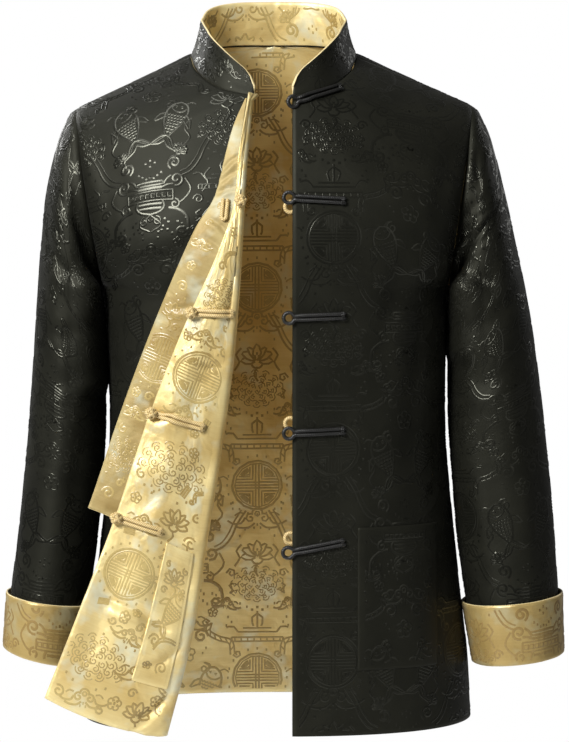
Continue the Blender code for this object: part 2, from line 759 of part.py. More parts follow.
def add_knots():
    """Each knot sits over the free edge, and its two cords run back over the gold side."""

    def gold_side(x, z):
        return seat_on(walls["front_right_lining"], x, z, CORD_LIFT)

    def stand_side(x, z):
        return seat_on(walls["button_stand"], x, z, TOP_CORD_LIFT)

    for number, share, inset, far in KNOTS:
        edge = flap_point(share, 1.0)
        fold = flap_point(share, 0.0)
        place = (edge + (fold - edge) * inset / np.linalg.norm(fold - edge))[[0, 2]]
        centre = seat_on(walls["front_right_lining"], *place, KNOT_RADIUS + KNOT_GAP)
        add_knot(f"frog_knot_{number}", centre, GOLD_CORD)
        if number == 2:
            route = pair_of_cords(TOP_CORD_START, far, stand_side)
        else:
            toward = (far - place) / np.linalg.norm(far - place)
            route = pair_of_cords(place + toward * KNOT_CORD_START, far, gold_side)
        add_cord(f"frog_cord_{number}", route, CORD_RADIUS, GOLD_CORD)


clear_scene()
jacket = bpy.data.collections.new("tang_jacket")
bpy.context.scene.collection.children.link(jacket)

left_front = left_front_surface()
right_front = right_front_surface()
back = back_surface()
left_sleeve = sleeve_surface(LEFT_SLEEVE, 1)
right_sleeve = sleeve_surface(RIGHT_SLEEVE, -1)
collar = collar_surface()
join_normals([left_front, right_front, back, left_sleeve, right_sleeve, collar])

LINED = (
    ("front_left", "front_left_lining", left_front),
    ("front_right", "front_right_lining", right_front),
    ("back", "back_lining", back),
    ("sleeve_left", "sleeve_left_lining", left_sleeve),
    ("sleeve_right", "sleeve_right_lining", right_sleeve),
    ("collar", "collar_lining", collar),
)
walls = {}
for outside_name, lining_name, surface in LINED:
    walls[outside_name] = add_wall(outside_name, surface, 0.0, CLOTH, BLACK)
    walls[lining_name] = add_wall(lining_name, surface, LINING_TOP, LINING_BOTTOM, GOLD)

for name, surface, bottom, finish in (
    ("cuff_left", cuff_surface(LEFT_SLEEVE, 1), SINGLE_CLOTH, GOLD),
    ("cuff_right", cuff_surface(RIGHT_SLEEVE, -1), SINGLE_CLOTH, GOLD),
    ("button_stand", stand_surface(), SINGLE_CLOTH, GOLD),
    ("pocket_left", left_pocket_surface(), POCKET_CLOTH, BLACK),
    ("pocket_right", right_pocket_surface(), POCKET_CLOTH, GOLD),
):
    join_normals([surface])
    walls[name] = add_wall(name, surface, 0.0, bottom, finish)

add_left_frogs()
add_knots()
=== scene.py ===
import math

import bpy
import numpy as np
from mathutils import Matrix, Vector
from mathutils.bvhtree import BVHTree


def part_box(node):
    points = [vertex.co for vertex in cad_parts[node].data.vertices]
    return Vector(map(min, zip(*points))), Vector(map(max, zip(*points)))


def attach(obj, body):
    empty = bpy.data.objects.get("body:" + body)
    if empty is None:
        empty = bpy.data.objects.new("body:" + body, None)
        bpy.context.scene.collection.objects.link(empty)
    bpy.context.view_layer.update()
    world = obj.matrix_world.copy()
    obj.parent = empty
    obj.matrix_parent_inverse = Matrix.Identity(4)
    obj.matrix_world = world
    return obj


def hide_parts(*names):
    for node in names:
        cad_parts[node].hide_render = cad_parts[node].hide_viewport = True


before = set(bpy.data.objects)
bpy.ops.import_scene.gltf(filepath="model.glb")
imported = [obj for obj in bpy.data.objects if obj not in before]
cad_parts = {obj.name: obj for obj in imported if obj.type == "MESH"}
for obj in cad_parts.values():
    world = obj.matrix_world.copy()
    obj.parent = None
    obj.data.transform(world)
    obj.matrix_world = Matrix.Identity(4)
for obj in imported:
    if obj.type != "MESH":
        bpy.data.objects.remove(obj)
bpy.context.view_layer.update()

# The studio: a camera level with the chest, a pale round floor below the hollow jacket, and soft square
# lamps, of which the strongest stands in front on the left.
CAMERA_PLACE = (0.0117, -3.0, -0.12)
# How far the line of sight drops on its way to the jacket.
SIGHT_DROP = 0.229
camera_data = bpy.data.cameras.new("camera")
camera_data.lens = 131.5
camera_data.sensor_width = 36.0
camera_data.clip_end = 60.0
camera = bpy.data.objects.new("camera", camera_data)
camera.location = CAMERA_PLACE
camera.rotation_euler = (math.radians(90.0) - math.atan2(SIGHT_DROP, -CAMERA_PLACE[1]), 0.0, 0.0)
bpy.context.scene.collection.objects.link(camera)
bpy.context.scene.camera = camera
bpy.context.scene.view_settings.view_transform = "Standard"
bpy.context.scene.view_settings.look = "None"


def new_material(name):
    """An empty node material, and a helper that adds a node and links what it is given."""
    material = bpy.data.materials.new(name)
    material.use_nodes = True
    tree = material.node_tree
    tree.nodes.clear()

    def node(kind, settings=None, **inputs):
        made = tree.nodes.new(kind)
        for key, value in (settings or {}).items():
            setattr(made, key, value)
        for key, value in inputs.items():
            name_or_index = int(key[1:]) if key[0] == "_" and key[1:].isdigit() else key.replace("_", " ")
            socket = made.inputs[name_or_index]
            if isinstance(value, bpy.types.NodeSocket):
                tree.links.new(value, socket)
            else:
                socket.default_value = value
        return made

    return material, node


def blended(node, share, first, second):
    """A colour between two: the first where the share is 0 and the second where it is 1."""
    return node("ShaderNodeMix", {"data_type": "RGBA"}, Factor=share, _6=first, _7=second).outputs[2]


def add_mesh(name, points, faces, materials, slots=None, uvs=None, edge=None):
    """A smooth mesh object in the scene from arrays. slots gives each face's material."""
    mesh = bpy.data.meshes.new(name)
    corners = [tuple(point) for point in np.asarray(points).tolist()]
    mesh.from_pydata(corners, [], [list(map(int, face)) for face in faces])
    for material in materials:
        mesh.materials.append(material)
    if slots is not None:
        mesh.polygons.foreach_set("material_index", np.asarray(slots, np.int32))
    mesh.polygons.foreach_set("use_smooth", np.ones(len(faces), bool))
    if uvs is not None:
        corner_points = np.empty(len(mesh.loops), np.int32)
        mesh.loops.foreach_get("vertex_index", corner_points)
        layer = mesh.uv_layers.new(name="cloth")
        layer.data.foreach_set("uv", np.asarray(uvs, np.float32)[corner_points].ravel())
    # edge is a painted highlight: how much lighter the cloth is drawn at each point near its edges.
    if edge is not None:
        edge_highlight = mesh.attributes.new("edge", "FLOAT", "POINT")
        edge_highlight.data.foreach_set("value", np.asarray(edge, np.float32))
    mesh.update()
    thing = bpy.data.objects.new(name, mesh)
    bpy.context.scene.collection.objects.link(thing)
    return thing


stage_material, node = new_material("stage_white")
grain = node("ShaderNodeTexNoise", Scale=3.0, Detail=2.0)
pale = blended(node, grain.outputs["Fac"], (0.80, 0.80, 0.80, 1.0), (0.86, 0.86, 0.86, 1.0))
shader = node("ShaderNodeBsdfPrincipled", Base_Color=pale, Roughness=0.95, Specular_IOR_Level=0.1)
node("ShaderNodeOutputMaterial", Surface=shader.outputs[0])
FLOOR_Z = -1.02
FLOOR_REACH_X = 1.5
FLOOR_REACH_Y = 1.08
FLOOR_SIDES = 64
turns = np.linspace(0.0, 2.0 * math.pi, FLOOR_SIDES, endpoint=False)
rim = np.stack((FLOOR_REACH_X * np.cos(turns), FLOOR_REACH_Y * np.sin(turns), np.full(FLOOR_SIDES, FLOOR_Z)),
               axis=1)
floor = add_mesh("floor", rim, [tuple(range(FLOOR_SIDES))], [stage_material])

world = bpy.data.worlds.new("studio")
bpy.context.scene.world = world
world.use_nodes = True
# The paper round the set is white to look at, and gives only a little light of its own.
background = world.node_tree.nodes["Background"]
background.inputs["Color"].default_value = (1.0, 1.0, 1.0, 1.0)
ray = world.node_tree.nodes.new("ShaderNodeLightPath")
strength = world.node_tree.nodes.new("ShaderNodeMapRange")
strength.inputs["To Min"].default_value = 0.125
strength.inputs["To Max"].default_value = 1.0
world.node_tree.links.new(ray.outputs["Is Camera Ray"], strength.inputs["Value"])
world.node_tree.links.new(strength.outputs[0], background.inputs["Strength"])

for lamp_name, place, aim, size, power in (
    ("key", (-1.8, -2.4, 1.35), (-0.05, 0.0, -0.25), 1.0, 158.0),
    ("fill", (2.4, -3.4, 0.2), (0.0, 0.0, -0.40), 1.6, 9.0),
    ("over_left", (-0.9, -0.5, 1.8), (-0.10, 0.0, -0.15), 0.8, 16.0),
    ("behind_left", (-2.2, 2.2, 1.4), (-0.1, 0.0, -0.30), 1.3, 55.0),
    ("behind_right", (2.2, 1.9, 0.8), (0.1, 0.0, -0.30), 1.2, 7.0),
):
    lamp_data = bpy.data.lights.new(lamp_name, "AREA")
    lamp_data.shape = "SQUARE"
    lamp_data.size = size
    lamp_data.energy = power
    lamp = bpy.data.objects.new(lamp_name, lamp_data)
    lamp.location = place
    x, y, z = np.array(aim) - np.array(place)
    lamp.rotation_euler = (math.atan2(math.hypot(x, y), -z), 0.0, math.atan2(-x, y))
    bpy.context.scene.collection.objects.link(lamp)

# Left front: black silk brocade outside and gold brocade inside, one worn panel that hangs straight
# from the shoulder. Its edges are turned in and the two layers are sewn together round them.
HEM_Z = -0.732
ARMPIT_Z = -0.253
SHOULDER_POINTS = {1: (0.218, 0.0, -0.055), -1: (0.218, 0.0, -0.059)}
NECK_POINT = (0.092, 0.0, -0.002)
LEFT_EDGE_X = 0.0205
SHOULDER_BULGE = 0.004
CLOTH_THICKNESS = 0.0025
# How far up a row lies: 0 at the hem, 1 at the armpit, NECK_UP where the neckline begins and 2 at the
# shoulder.
NECK_UP = 2.0 - 3.0 / 7.0
# z, half width, depth in front, depth behind, shift to +X, squareness.
BODY_SECTIONS = (
    (HEM_Z, 0.2158, 0.132, 0.118, 0.0040, 2.3),
    (-0.655, 0.2108, 0.130, 0.115, 0.0040, 2.3),
    (-0.580, 0.2020, 0.127, 0.110, 0.0040, 2.3),
    (-0.500, 0.1932, 0.124, 0.103, 0.0042, 2.35),
    (-0.420, 0.1862, 0.122, 0.098, 0.0042, 2.4),
    (-0.335, 0.1866, 0.125, 0.104, 0.0033, 2.5),
    (ARMPIT_Z, 0.1890, 0.130, 0.116, 0.0015, 2.6),
)
CENTRE_FRONT = ((0.130, ARMPIT_Z), (0.132, -0.205), (0.127, -0.155), (0.113, -0.105), (0.090, -0.047))
CENTRE_BACK = ((0.116, ARMPIT_Z), (0.121, -0.185), (0.116, -0.115), (0.098, -0.048), (0.072, 0.014))
FRONT_NECKLINE = ((0.0205, -0.090, -0.0470), (0.0580, -0.073, -0.0385), (0.0830, -0.040, -0.0205), NECK_POINT)
BACK_NECKLINE = ((0.0, 0.072, 0.0140), (0.0480, 0.062, 0.0130), (0.0800, 0.036, 0.0070), NECK_POINT)
# Sleeves from armhole to wrist: outer x and z, inner x and z, half depth, how far forward.
LEFT_SLEEVE = (
    (0.2180, -0.055, 0.1905, ARMPIT_Z, 0.062, 0.000),
    (0.2325, -0.077, 0.2005, -0.263, 0.066, 0.000),
    (0.2430, -0.107, 0.1957, -0.279, 0.069, 0.002),
    (0.2550, -0.154, 0.1937, -0.299, 0.071, 0.004),
    (0.2680, -0.212, 0.1928, -0.325, 0.070, 0.007),
    (0.2830, -0.288, 0.1922, -0.361, 0.067, 0.010),
    (0.2940, -0.366, 0.1930, -0.407, 0.064, 0.014),
    (0.3032, -0.447, 0.1970, -0.464, 0.061, 0.018),
    (0.3098, -0.522, 0.2030, -0.532, 0.059, 0.021),
    (0.3145, -0.590, 0.2125, -0.601, 0.058, 0.024),
    (0.3190, -0.654, 0.2215, -0.666, 0.057, 0.026),
)
RIGHT_SLEEVE = (
    (0.2180, -0.059, 0.1875, ARMPIT_Z, 0.062, 0.000),
    (0.2310, -0.079, 0.1973, -0.263, 0.0656, 0.000),
    (0.2410, -0.108, 0.1922, -0.279, 0.0683, 0.0024),
    (0.2510, -0.154, 0.1892, -0.299, 0.0692, 0.0044),
    (0.2568, -0.212, 0.1873, -0.325, 0.0674, 0.0072),
    (0.2622, -0.288, 0.1860, -0.361, 0.064, 0.010),
    (0.2672, -0.366, 0.1858, -0.407, 0.061, 0.014),
    (0.2742, -0.447, 0.1885, -0.462, 0.058, 0.018),
    (0.2818, -0.522, 0.1950, -0.530, 0.056, 0.021),
    (0.2910, -0.590, 0.2045, -0.602, 0.055, 0.024),
    (0.2975, -0.648, 0.2135, -0.668, 0.055, 0.026),
)


def smooth_through(knots, values, at):
    """The value at one place on a smooth curve through the values given at the knots."""
    knots = np.asarray(knots, float)
    values = np.asarray(values, float)
    slopes = np.gradient(values, knots, axis=0)
    k = int(np.clip(np.searchsorted(knots, at) - 1, 0, len(knots) - 2))
    step = knots[k + 1] - knots[k]
    t = (at - knots[k]) / step
    start = (1 + 2 * t) * (1 - t) ** 2 * values[k] + t * (1 - t) ** 2 * step * slopes[k]
    return start + t * t * (3 - 2 * t) * values[k + 1] + t * t * (t - 1) * step * slopes[k + 1]


def even_through(points, t):
    """A place on a smooth line through evenly spaced points, with t from 0 to 1."""
    return smooth_through(np.linspace(0.0, 1.0, len(points)), points, t)


def section(table, at):
    """A table's row for a place between its own. The first column is the place."""
    rows = np.array(table, float)
    return smooth_through(rows[:, 0], rows, at)[1:]


def body_row(z, around, face, side, centre_x):
    """Points of the body's section at height z, for around from 0 at the side to 1 at centre_x."""
    half_width, front, back, shift, squareness = section(BODY_SECTIONS, z)
    power = 2.0 / squareness
    reach = min(max(side * (centre_x - shift), 0.0) / half_width, 1.0)
    angle = np.asarray(around, float) * math.acos(reach ** (1.0 / power))
    x = shift + side * half_width * np.abs(np.cos(angle)) ** power
    y = (back if face == "back" else -front) * np.abs(np.sin(angle)) ** power
    return np.stack((x, y, np.full_like(x, z)), axis=-1)


def sleeve_row(sleeve, side, along, turn):
    """Points round a sleeve: along counts the table's rows, turn is 0 outside, positive in front."""
    outer_x, outer_z, inner_x, inner_z, half_depth, forward = smooth_through(
        np.arange(len(sleeve)), np.array(sleeve, float), along)
    outer = np.array((side * outer_x, 0.0, outer_z))
    inner = np.array((side * inner_x, 0.0, inner_z))
    turn = np.asarray(turn, float)
    points = (outer + inner) / 2.0 + (outer - inner) / 2.0 * np.cos(turn)[..., None]
    points[..., 1] -= forward + half_depth * np.sin(turn)
    return points


def armhole_point(side, face, up):
    turn = math.pi * (1.0 - up)
    sleeve = LEFT_SLEEVE if side > 0 else RIGHT_SLEEVE
    return sleeve_row(sleeve, side, 0.0, np.array([turn if face == "front" else -turn]))[0]


def inner_line(side, face, up, centre_x):
    """The panel's inner edge above the armpit: the centre line, then the neckline."""
    turn_up = NECK_UP - 1.0
    if up <= turn_up:
        depth, z = even_through(CENTRE_BACK if face == "back" else CENTRE_FRONT, up / turn_up)
        return np.array((centre_x, depth if face == "back" else -depth, z))
    line = BACK_NECKLINE if face == "back" else FRONT_NECKLINE
    return even_through(line, (up - turn_up) / (1.0 - turn_up)) * np.array((side, 1.0, 1.0))


def shoulder_seam(side, across):
    across = np.asarray(across, float)[..., None]
    points = (1.0 - across) * np.array(SHOULDER_POINTS[side]) + across * np.array(NECK_POINT)
    points[..., 2:] += SHOULDER_BULGE * across * (1.0 - across)
    return points * np.array((side, 1.0, 1.0))


def half_row(side, face, across, up):
    """One row of a plain half panel. across is 0 at the side and 1 in the middle, up is 0 at the hem,
    1 at the armpit and 2 at the shoulder."""
    centre_x = 0.0 if face == "back" else side * LEFT_EDGE_X
    if up <= 1.0:
        z = HEM_Z + (ARMPIT_Z - HEM_Z) * up
        lean = section(BODY_SECTIONS, z)[3] if face == "back" else 0.0
        return body_row(z, across, face, side, centre_x + lean)
    # Above the armpit the panel is a patch between four lines: armhole, centre, chest and shoulder seam.
    above = up - 1.0
    inner_share = (across * across * (3.0 - 2.0 * across))[:, None]
    high_share = above * above * (3.0 - 2.0 * above)
    lean = section(BODY_SECTIONS, ARMPIT_Z)[3] if face == "back" else 0.0
    outer = armhole_point(side, face, above)
    inner = inner_line(side, face, above, centre_x + lean * (1.0 - high_share))
    low = body_row(ARMPIT_Z, across, face, side, centre_x + lean)
    high = shoulder_seam(side, across)
    outer_low, outer_high = armhole_point(side, face, 0.0), shoulder_seam(side, 0.0)
    inner_low, inner_high = inner_line(side, face, 0.0, centre_x + lean), shoulder_seam(side, 1.0)
    outer_corners = (1 - high_share) * outer_low + high_share * outer_high
    inner_corners = (1 - high_share) * inner_low + high_share * inner_high
    corners = (1 - inner_share) * outer_corners + inner_share * inner_corners
    between_sides = (1 - inner_share) * outer + inner_share * inner
    return between_sides + (1 - high_share) * low + high_share * high - corners


def distance_along(points):
    """How far along their line each of the points lies."""
    return np.concatenate(([0.0], np.cumsum(np.linalg.norm(np.diff(points, axis=0), axis=1))))


def unit(ways):
    """The same directions, each one long."""
    return ways / np.maximum(np.linalg.norm(ways, axis=-1, keepdims=True), 1e-12)


def even_row(points, count):
    """The row's points at equal steps along it, and its length."""
    steps = distance_along(points)
    want = np.linspace(0.0, steps[-1], count)
    return np.stack([np.interp(want, steps, points[:, k]) for k in range(3)], axis=1), steps[-1]


def outward_ways(points, closed, turned):
    """Each grid point's direction out of the cloth."""
    if closed:
        around = np.roll(points, -1, axis=1) - np.roll(points, 1, axis=1)
    else:
        around = np.gradient(points, axis=1)
    ways = unit(np.cross(around, np.gradient(points, axis=0)))
    return -ways if turned else ways


# Rows from the hem to the armpit, on to the foot of the neckline and on to the shoulder.
LOWER_ROWS = 130
CHEST_ROWS = 60
SHOULDER_ROWS = 32
NECK_ROW = LOWER_ROWS + CHEST_ROWS
FRONT_UPS = np.concatenate((
    np.linspace(0.0, 1.0, LOWER_ROWS + 1), np.linspace(1.0, NECK_UP, CHEST_ROWS + 1)[1:],
    np.linspace(NECK_UP, 2.0, SHOULDER_ROWS + 1)[1:]))
# Where a row is worked out before it is laid in equal steps.
FINE = np.linspace(0.0, 1.0, 241)


def crease(grid, path, width, depth, facing=-1):
    """One soft fold: a trough along the path, given by x and z in the front view, with a low ridge
    beside it. facing is -1 for the front of the body and 1 for its back."""
    path = np.array(path, float)
    flat = grid["points"][..., [0, 2]]
    best = np.full(flat.shape[:2], np.inf)
    signed = np.zeros(flat.shape[:2])
    along = np.zeros(flat.shape[:2])
    lengths = np.linalg.norm(np.diff(path, axis=0), axis=1)
    total = lengths.sum()
    done = 0.0
    for start, end, length in zip(path[:-1], path[1:], lengths):
        way = (end - start) / length
        t = np.clip((flat - start) @ way, 0.0, length)
        off = flat - start - t[..., None] * way
        distance = np.linalg.norm(off, axis=2)
        nearer = distance < best
        best = np.where(nearer, distance, best)
        side = np.sign(off[..., 0] * way[1] - off[..., 1] * way[0])
        signed = np.where(nearer, distance * side, signed)
        along = np.where(nearer, (done + t) / total, along)
        done += length
    fade = np.sin(np.pi * np.clip(along, 0.02, 0.98)) ** 0.7
    facing_share = np.clip(grid["outward"][..., 1] * facing * 2.5, 0.0, 1.0)
    trough = np.exp(-(signed / width) ** 2)
    ridge = 0.65 * np.exp(-((signed - 1.7 * width) / (1.2 * width)) ** 2)
    grid["rise"] += (ridge - trough) * depth * fade * facing_share


def crease_all(grid, folds, facing=-1, deepen=1.0):
    """Folds, given one by one: each is its path in the front view, its width and its depth."""
    for path, width, depth in folds:
        crease(grid, path, width, depth * deepen, facing)


def settle(grid):
    """Moves the cloth out by its rise, and works out its directions again."""
    grid["points"] = grid["points"] + grid["outward"] * grid["rise"][..., None]
    grid["outward"] = outward_ways(grid["points"], grid["closed"], grid["turned"])


def new_grid(rows, up, start, lengths, closed=False, turned=False, cells=None, weld=None):
    """The cloth as rows of points. up is each row's height along the cloth, start where its first point
    lies across it, cells says which of its cells there are, and weld which columns are one line."""
    points = np.array(rows)
    return {"points": points, "outward": outward_ways(points, closed, turned), "up": np.array(up),
            "start": np.array(start), "length": np.array(lengths), "closed": closed, "turned": turned,
            "rise": np.zeros(points.shape[:2]), "cells": cells, "weld": weld}


# How deep the cloth is drawn in beside a seam, and how far from it.
SEAM_DEPTH = 0.0010
SEAM_REACH = 0.0028


def seam_dip(grid, distance, depth=SEAM_DEPTH):
    """Draws the cloth in beside a seam, for the distance of each point from it."""
    grid["rise"] -= depth * np.exp(-(np.maximum(distance, 0.0) / SEAM_REACH) ** 2)


def finish_piece(piece, slot, *nodes):
    """Says that the piece moves with the jacket and which solids it stands for. slot, its finish, is not
    used.
    """
    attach(piece, "root")
    if nodes:
        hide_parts(*nodes)


# How far the painted highlight along an edge reaches into the cloth.
EDGE_HIGHLIGHT_REACH = 0.006


def shell(name, grid, materials, thickness=CLOTH_THICKNESS, bead=0.0005, tuck=None):
    """The closed cloth of a grid: its outer face, its inner face and a rounded edge between them.
    materials are those of the outer face, the inner face and the edge. tuck is how far each point
    of the edge goes into a seam, where the edge is the outer cloth's."""
    rows, columns = grid["points"].shape[:2]
    last_column = columns if grid["closed"] else columns - 1
    i, j = np.meshgrid(np.arange(rows - 1), np.arange(last_column), indexing="ij")
    keep = np.ones(i.shape, bool) if grid["cells"] is None else grid["cells"](i, j)
    i, j = i[keep], j[keep]
    k = (j + 1) % columns
    quads = np.stack((i * columns + j, i * columns + k, (i + 1) * columns + k, (i + 1) * columns + j), axis=1)
    if grid["turned"]:
        quads = quads[:, ::-1]
    if grid["weld"] is not None:
        # These two columns are one line up to that row.
        first, second, last = grid["weld"]
        same = np.arange(rows * columns)
        same[np.arange(last + 1) * columns + second] = np.arange(last + 1) * columns + first
        quads = same[quads]
    flat = grid["points"].reshape(-1, 3)
    outward = grid["outward"].reshape(-1, 3)
    edges = np.concatenate([quads[:, [a, (a + 1) % 4]] for a in range(4)])
    code = edges[:, 0].astype(np.int64) * (rows * columns) + edges[:, 1]
    back_code = edges[:, 1].astype(np.int64) * (rows * columns) + edges[:, 0]
    border = edges[~np.isin(code, back_code)]
    # An edge's point stands out from the panel: away from the middle of the cells round it.
    middle = flat[quads].mean(axis=1)
    total = np.zeros_like(flat)
    count = np.zeros(len(flat))
    for a in range(4):
        np.add.at(total, quads[:, a], middle)
        np.add.at(count, quads[:, a], 1)
    away = flat - total / np.maximum(count, 1)[:, None]
    away = unit(away - outward * (away * outward).sum(axis=1, keepdims=True))
    size = len(flat)
    tuck = np.zeros(size) if tuck is None else tuck.reshape(-1)
    edge_line = flat - outward * thickness / 2 + away * (bead + tuck)[:, None]
    points = np.concatenate((flat, flat - outward * thickness, edge_line))
    faces = [quads, quads[:, ::-1] + size]
    a, b = border[:, 0], border[:, 1]
    faces.append(np.stack((a, a + 2 * size, b + 2 * size, b), axis=1))
    faces.append(np.stack((a + 2 * size, a + size, b + size, b + 2 * size), axis=1))
    slots = np.concatenate([np.full(len(part), slot) for part, slot in zip(faces, (0, 1, 2, 2))])
    slots[2 * len(quads):][np.tile((tuck[a] > 0) & (tuck[b] > 0), 2)] = 0
    faces = np.concatenate(faces)
    used, place = np.unique(faces, return_inverse=True)
    faces = place.reshape(-1, 4)
    start, length = grid["start"][:, None], grid["length"][:, None]
    u = start + np.linspace(0.0, 1.0, columns, endpoint=not grid["closed"]) * length
    v = np.tile(grid["up"][:, None], (1, columns))
    uvs = np.stack((u, v), axis=2).reshape(-1, 2)
    to_edges = [v - v.min(), v.max() - v]
    if not grid["closed"]:
        to_edges += [u - start, start + length - u]
    # The cloth is drawn lighter near every edge: a painted highlight.
    edge_highlight = np.exp(-np.minimum.reduce(to_edges) / EDGE_HIGHLIGHT_REACH).reshape(-1)
    uvs, edge_highlight = np.tile(uvs, (3, 1))[used], np.tile(edge_highlight, 3)[used]
    return add_mesh(name, points[used], faces, materials, slots, uvs, edge_highlight)


SEAM_TUCK = 0.0024
# The tuck of an edge that only shows the outer cloth: too little to see.
NO_TUCK = 0.00001
# An armhole's edge goes in further near the armpit, where the sleeve turns away from it.
ARMPIT_TUCK = 0.0036
ARMPIT_TUCK_TOP = -0.15
ARMPIT_TUCK_GROWTH = 0.03


def tucked(grid, column=None, row=None, depth=SEAM_TUCK):
    """How far each point goes into its seam: one row, or one column where it is part of an armhole."""
    tuck = np.zeros(grid["points"].shape[:2])
    if row is not None:
        tuck[row] = depth
    if column is not None:
        z = grid["points"][:, column, 2]
        deeper = depth + ARMPIT_TUCK * np.clip((ARMPIT_TUCK_TOP - z) / ARMPIT_TUCK_GROWTH, 0.0, 1.0)
        tuck[:, column] = np.where(z > ARMPIT_Z, deeper, NO_TUCK)
    return tuck


def times_plus(node, value, times, plus):
    return node("ShaderNodeMath", {"operation": "MULTIPLY_ADD"}, _0=value, _1=times, _2=plus).outputs[0]


def silk_surface(node, colour, roughness, bump, sheen, sheen_roughness, **settings):
    """The silk's shader and the material's output. settings are the shader's further values."""
    shader = node("ShaderNodeBsdfPrincipled", Base_Color=colour, Roughness=roughness.outputs[0],
                  Normal=bump.outputs[0], Sheen_Weight=sheen, Sheen_Roughness=sheen_roughness, **settings)
    node("ShaderNodeOutputMaterial", Surface=shader.outputs[0])


def brocade(name, ground, light, sheen, rough, specular=0.5, painted_sheen=None, metal=0.0, ripples=0.0010,
            glint=(1.0, 1.0, 1.0, 1.0)):
    """Silk satin ground: a fine twill, slow changes of tone, and a painted highlight that makes it lighter
    near its edges. The sheen colour gives pale zones, set at random where the satin would shine: a painted
    sheen. metal is the share of metallic thread, ripples how high the cloth's small uneven ripples are and
    glint the tint of its shine."""
    material, node = new_material(name)
    place = node("ShaderNodeUVMap", {"uv_map": "cloth"}).outputs[0]
    scaled = node("ShaderNodeMapping", Vector=place, Scale=(1000.0, 1000.0, 1.0)).outputs[0]
    twill = node("ShaderNodeTexWave", {"bands_direction": "DIAGONAL"}, Vector=scaled, Scale=0.9,
                 Distortion=0.6, Detail=1.0)
    drawn_out = node("ShaderNodeMapping", Vector=scaled, Scale=(0.02, 0.5, 1.0)).outputs[0]
    slub = node("ShaderNodeTexNoise", Vector=drawn_out, Scale=1.0, Detail=3.0)
    cloud = node("ShaderNodeTexNoise", Vector=scaled, Scale=0.018, Detail=2.0)
    edge = node("ShaderNodeAttribute", {"attribute_name": "edge"}).outputs["Fac"]
    tone = times_plus(node, slub.outputs["Fac"], 0.22, cloud.outputs["Fac"])
    share = node("ShaderNodeMapRange", Value=tone, From_Min=0.36, From_Max=0.86).outputs[0]
    # Near the edges the tint moves toward the light colour: a painted highlight.
    tint = blended(node, times_plus(node, edge, 0.35, share), ground, light)
    # Pale zones set at random, where the satin would shine: a painted sheen.
    if painted_sheen is not None:
        sheen_zones = node("ShaderNodeTexNoise", Vector=scaled, Scale=0.022, Detail=3.0, Roughness=0.6)
        reach = node("ShaderNodeMapRange", Value=sheen_zones.outputs["Fac"], From_Min=0.52, From_Max=0.66,
                     To_Max=0.75)
        tint = blended(node, reach.outputs[0], tint, painted_sheen)
    roughness = node("ShaderNodeMapRange", Value=cloud.outputs["Fac"],
                     To_Min=rough - 0.05, To_Max=rough + 0.08)
    ripple = node("ShaderNodeTexNoise", Vector=scaled, Scale=0.040, Detail=2.0, Roughness=0.5, Distortion=0.4)
    soft = node("ShaderNodeBump", Strength=1.0, Distance=ripples, Height=ripple.outputs["Fac"])
    bump = node("ShaderNodeBump", Strength=0.18, Distance=0.0001, Height=twill.outputs["Fac"],
                Normal=soft.outputs[0])
    silk_surface(node, tint, roughness, bump, sheen, 0.4, Specular_IOR_Level=specular, Specular_Tint=glint,
                 Metallic=metal)
    return material


black_satin = brocade("black_satin", (0.0042, 0.0043, 0.0030, 1.0), (0.0090, 0.0090, 0.0062, 1.0), 0.02, 0.54,
                      specular=0.20, ripples=0.0006, glint=(1.0, 1.0, 0.80, 1.0))
# The gold satin's pale zones are a painted sheen.
gold_satin = brocade("gold_satin", (0.62, 0.430, 0.140, 1.0), (0.88, 0.73, 0.350, 1.0), 0.08, 0.43,
                     painted_sheen=(0.72, 0.71, 0.52, 1.0), metal=0.40, ripples=0.0022)
gold_edge = brocade("gold_edge", (0.54, 0.41, 0.155, 1.0), (0.68, 0.55, 0.28, 1.0), 0.15, 0.42)

# The woven figure: every line is a narrow raised float of silk over the satin. It is charted in millimetres,
# motif by motif, as one repeat that runs across and up the cloth.
FIGURE_WIDTH = 1.5
FINE_LINE = 1.3
HAIR_LINE = 1.1
REPEAT = (0.165, 0.2275)
# No line of the repeat lies further than this right of or above its origin, or left of or below it.
REPEAT_AHEAD = 0.30
REPEAT_BEHIND = 0.15
MILLIMETRE = 0.001
# About how many degrees a radian has. It only sets how many points a round line gets.
RADIAN = 57.3


def arc(x, y, radius, start, end, width=FIGURE_WIDTH):
    count = max(3, int(abs(end - start) / RADIAN * radius / (1.4 + 0.16 * radius)) + 2)
    turns = np.radians(np.linspace(start, end, count))
    return [(np.stack((x + radius * np.cos(turns), y + radius * np.sin(turns)), axis=1), width)]


def stroke(*points, width=FIGURE_WIDTH):
    return [(np.array(points, float), width)]


def length_of(points):
    return np.linalg.norm(np.diff(points, axis=0), axis=1).sum()


def bend(*points, width=FIGURE_WIDTH):
    """A smooth line through the points."""
    knots = np.array(points, float)
    count = max(4, int(length_of(knots) / 2.6) + 2)
    return [(np.array([even_through(knots, t) for t in np.linspace(0, 1, count)]), width)]


def curl(x, y, outer, inner, start, sweep, width=FIGURE_WIDTH):
    """A spiral that winds in from its outer radius."""
    count = max(5, int(abs(sweep) * (outer + inner) / 2.0 / RADIAN / 2.2) + 2)
    turns = np.radians(start + np.linspace(0.0, sweep, count))
    radii = np.linspace(outer, inner, count)
    return [(np.stack((x + radii * np.cos(turns), y + radii * np.sin(turns)), axis=1), width)]


def dots(*places, size=1.9):
    return [(np.array(((x - size / 2, y), (x + size / 2, y))), size) for x, y in places]


def moved(lines, x=0.0, y=0.0, turn=0.0, grow=1.0, mirror=1.0):
    """The lines mirrored and grown, then turned, then put at x and y."""
    a = math.radians(turn)
    spin = np.array(((math.cos(a), math.sin(a)), (-math.sin(a), math.cos(a))))
    return [(points * (mirror * grow, grow) @ spin + (x, y), width) for points, width in lines]


def paired(lines):
    """The lines and their mirror image."""
    return lines + moved(lines, mirror=-1.0)


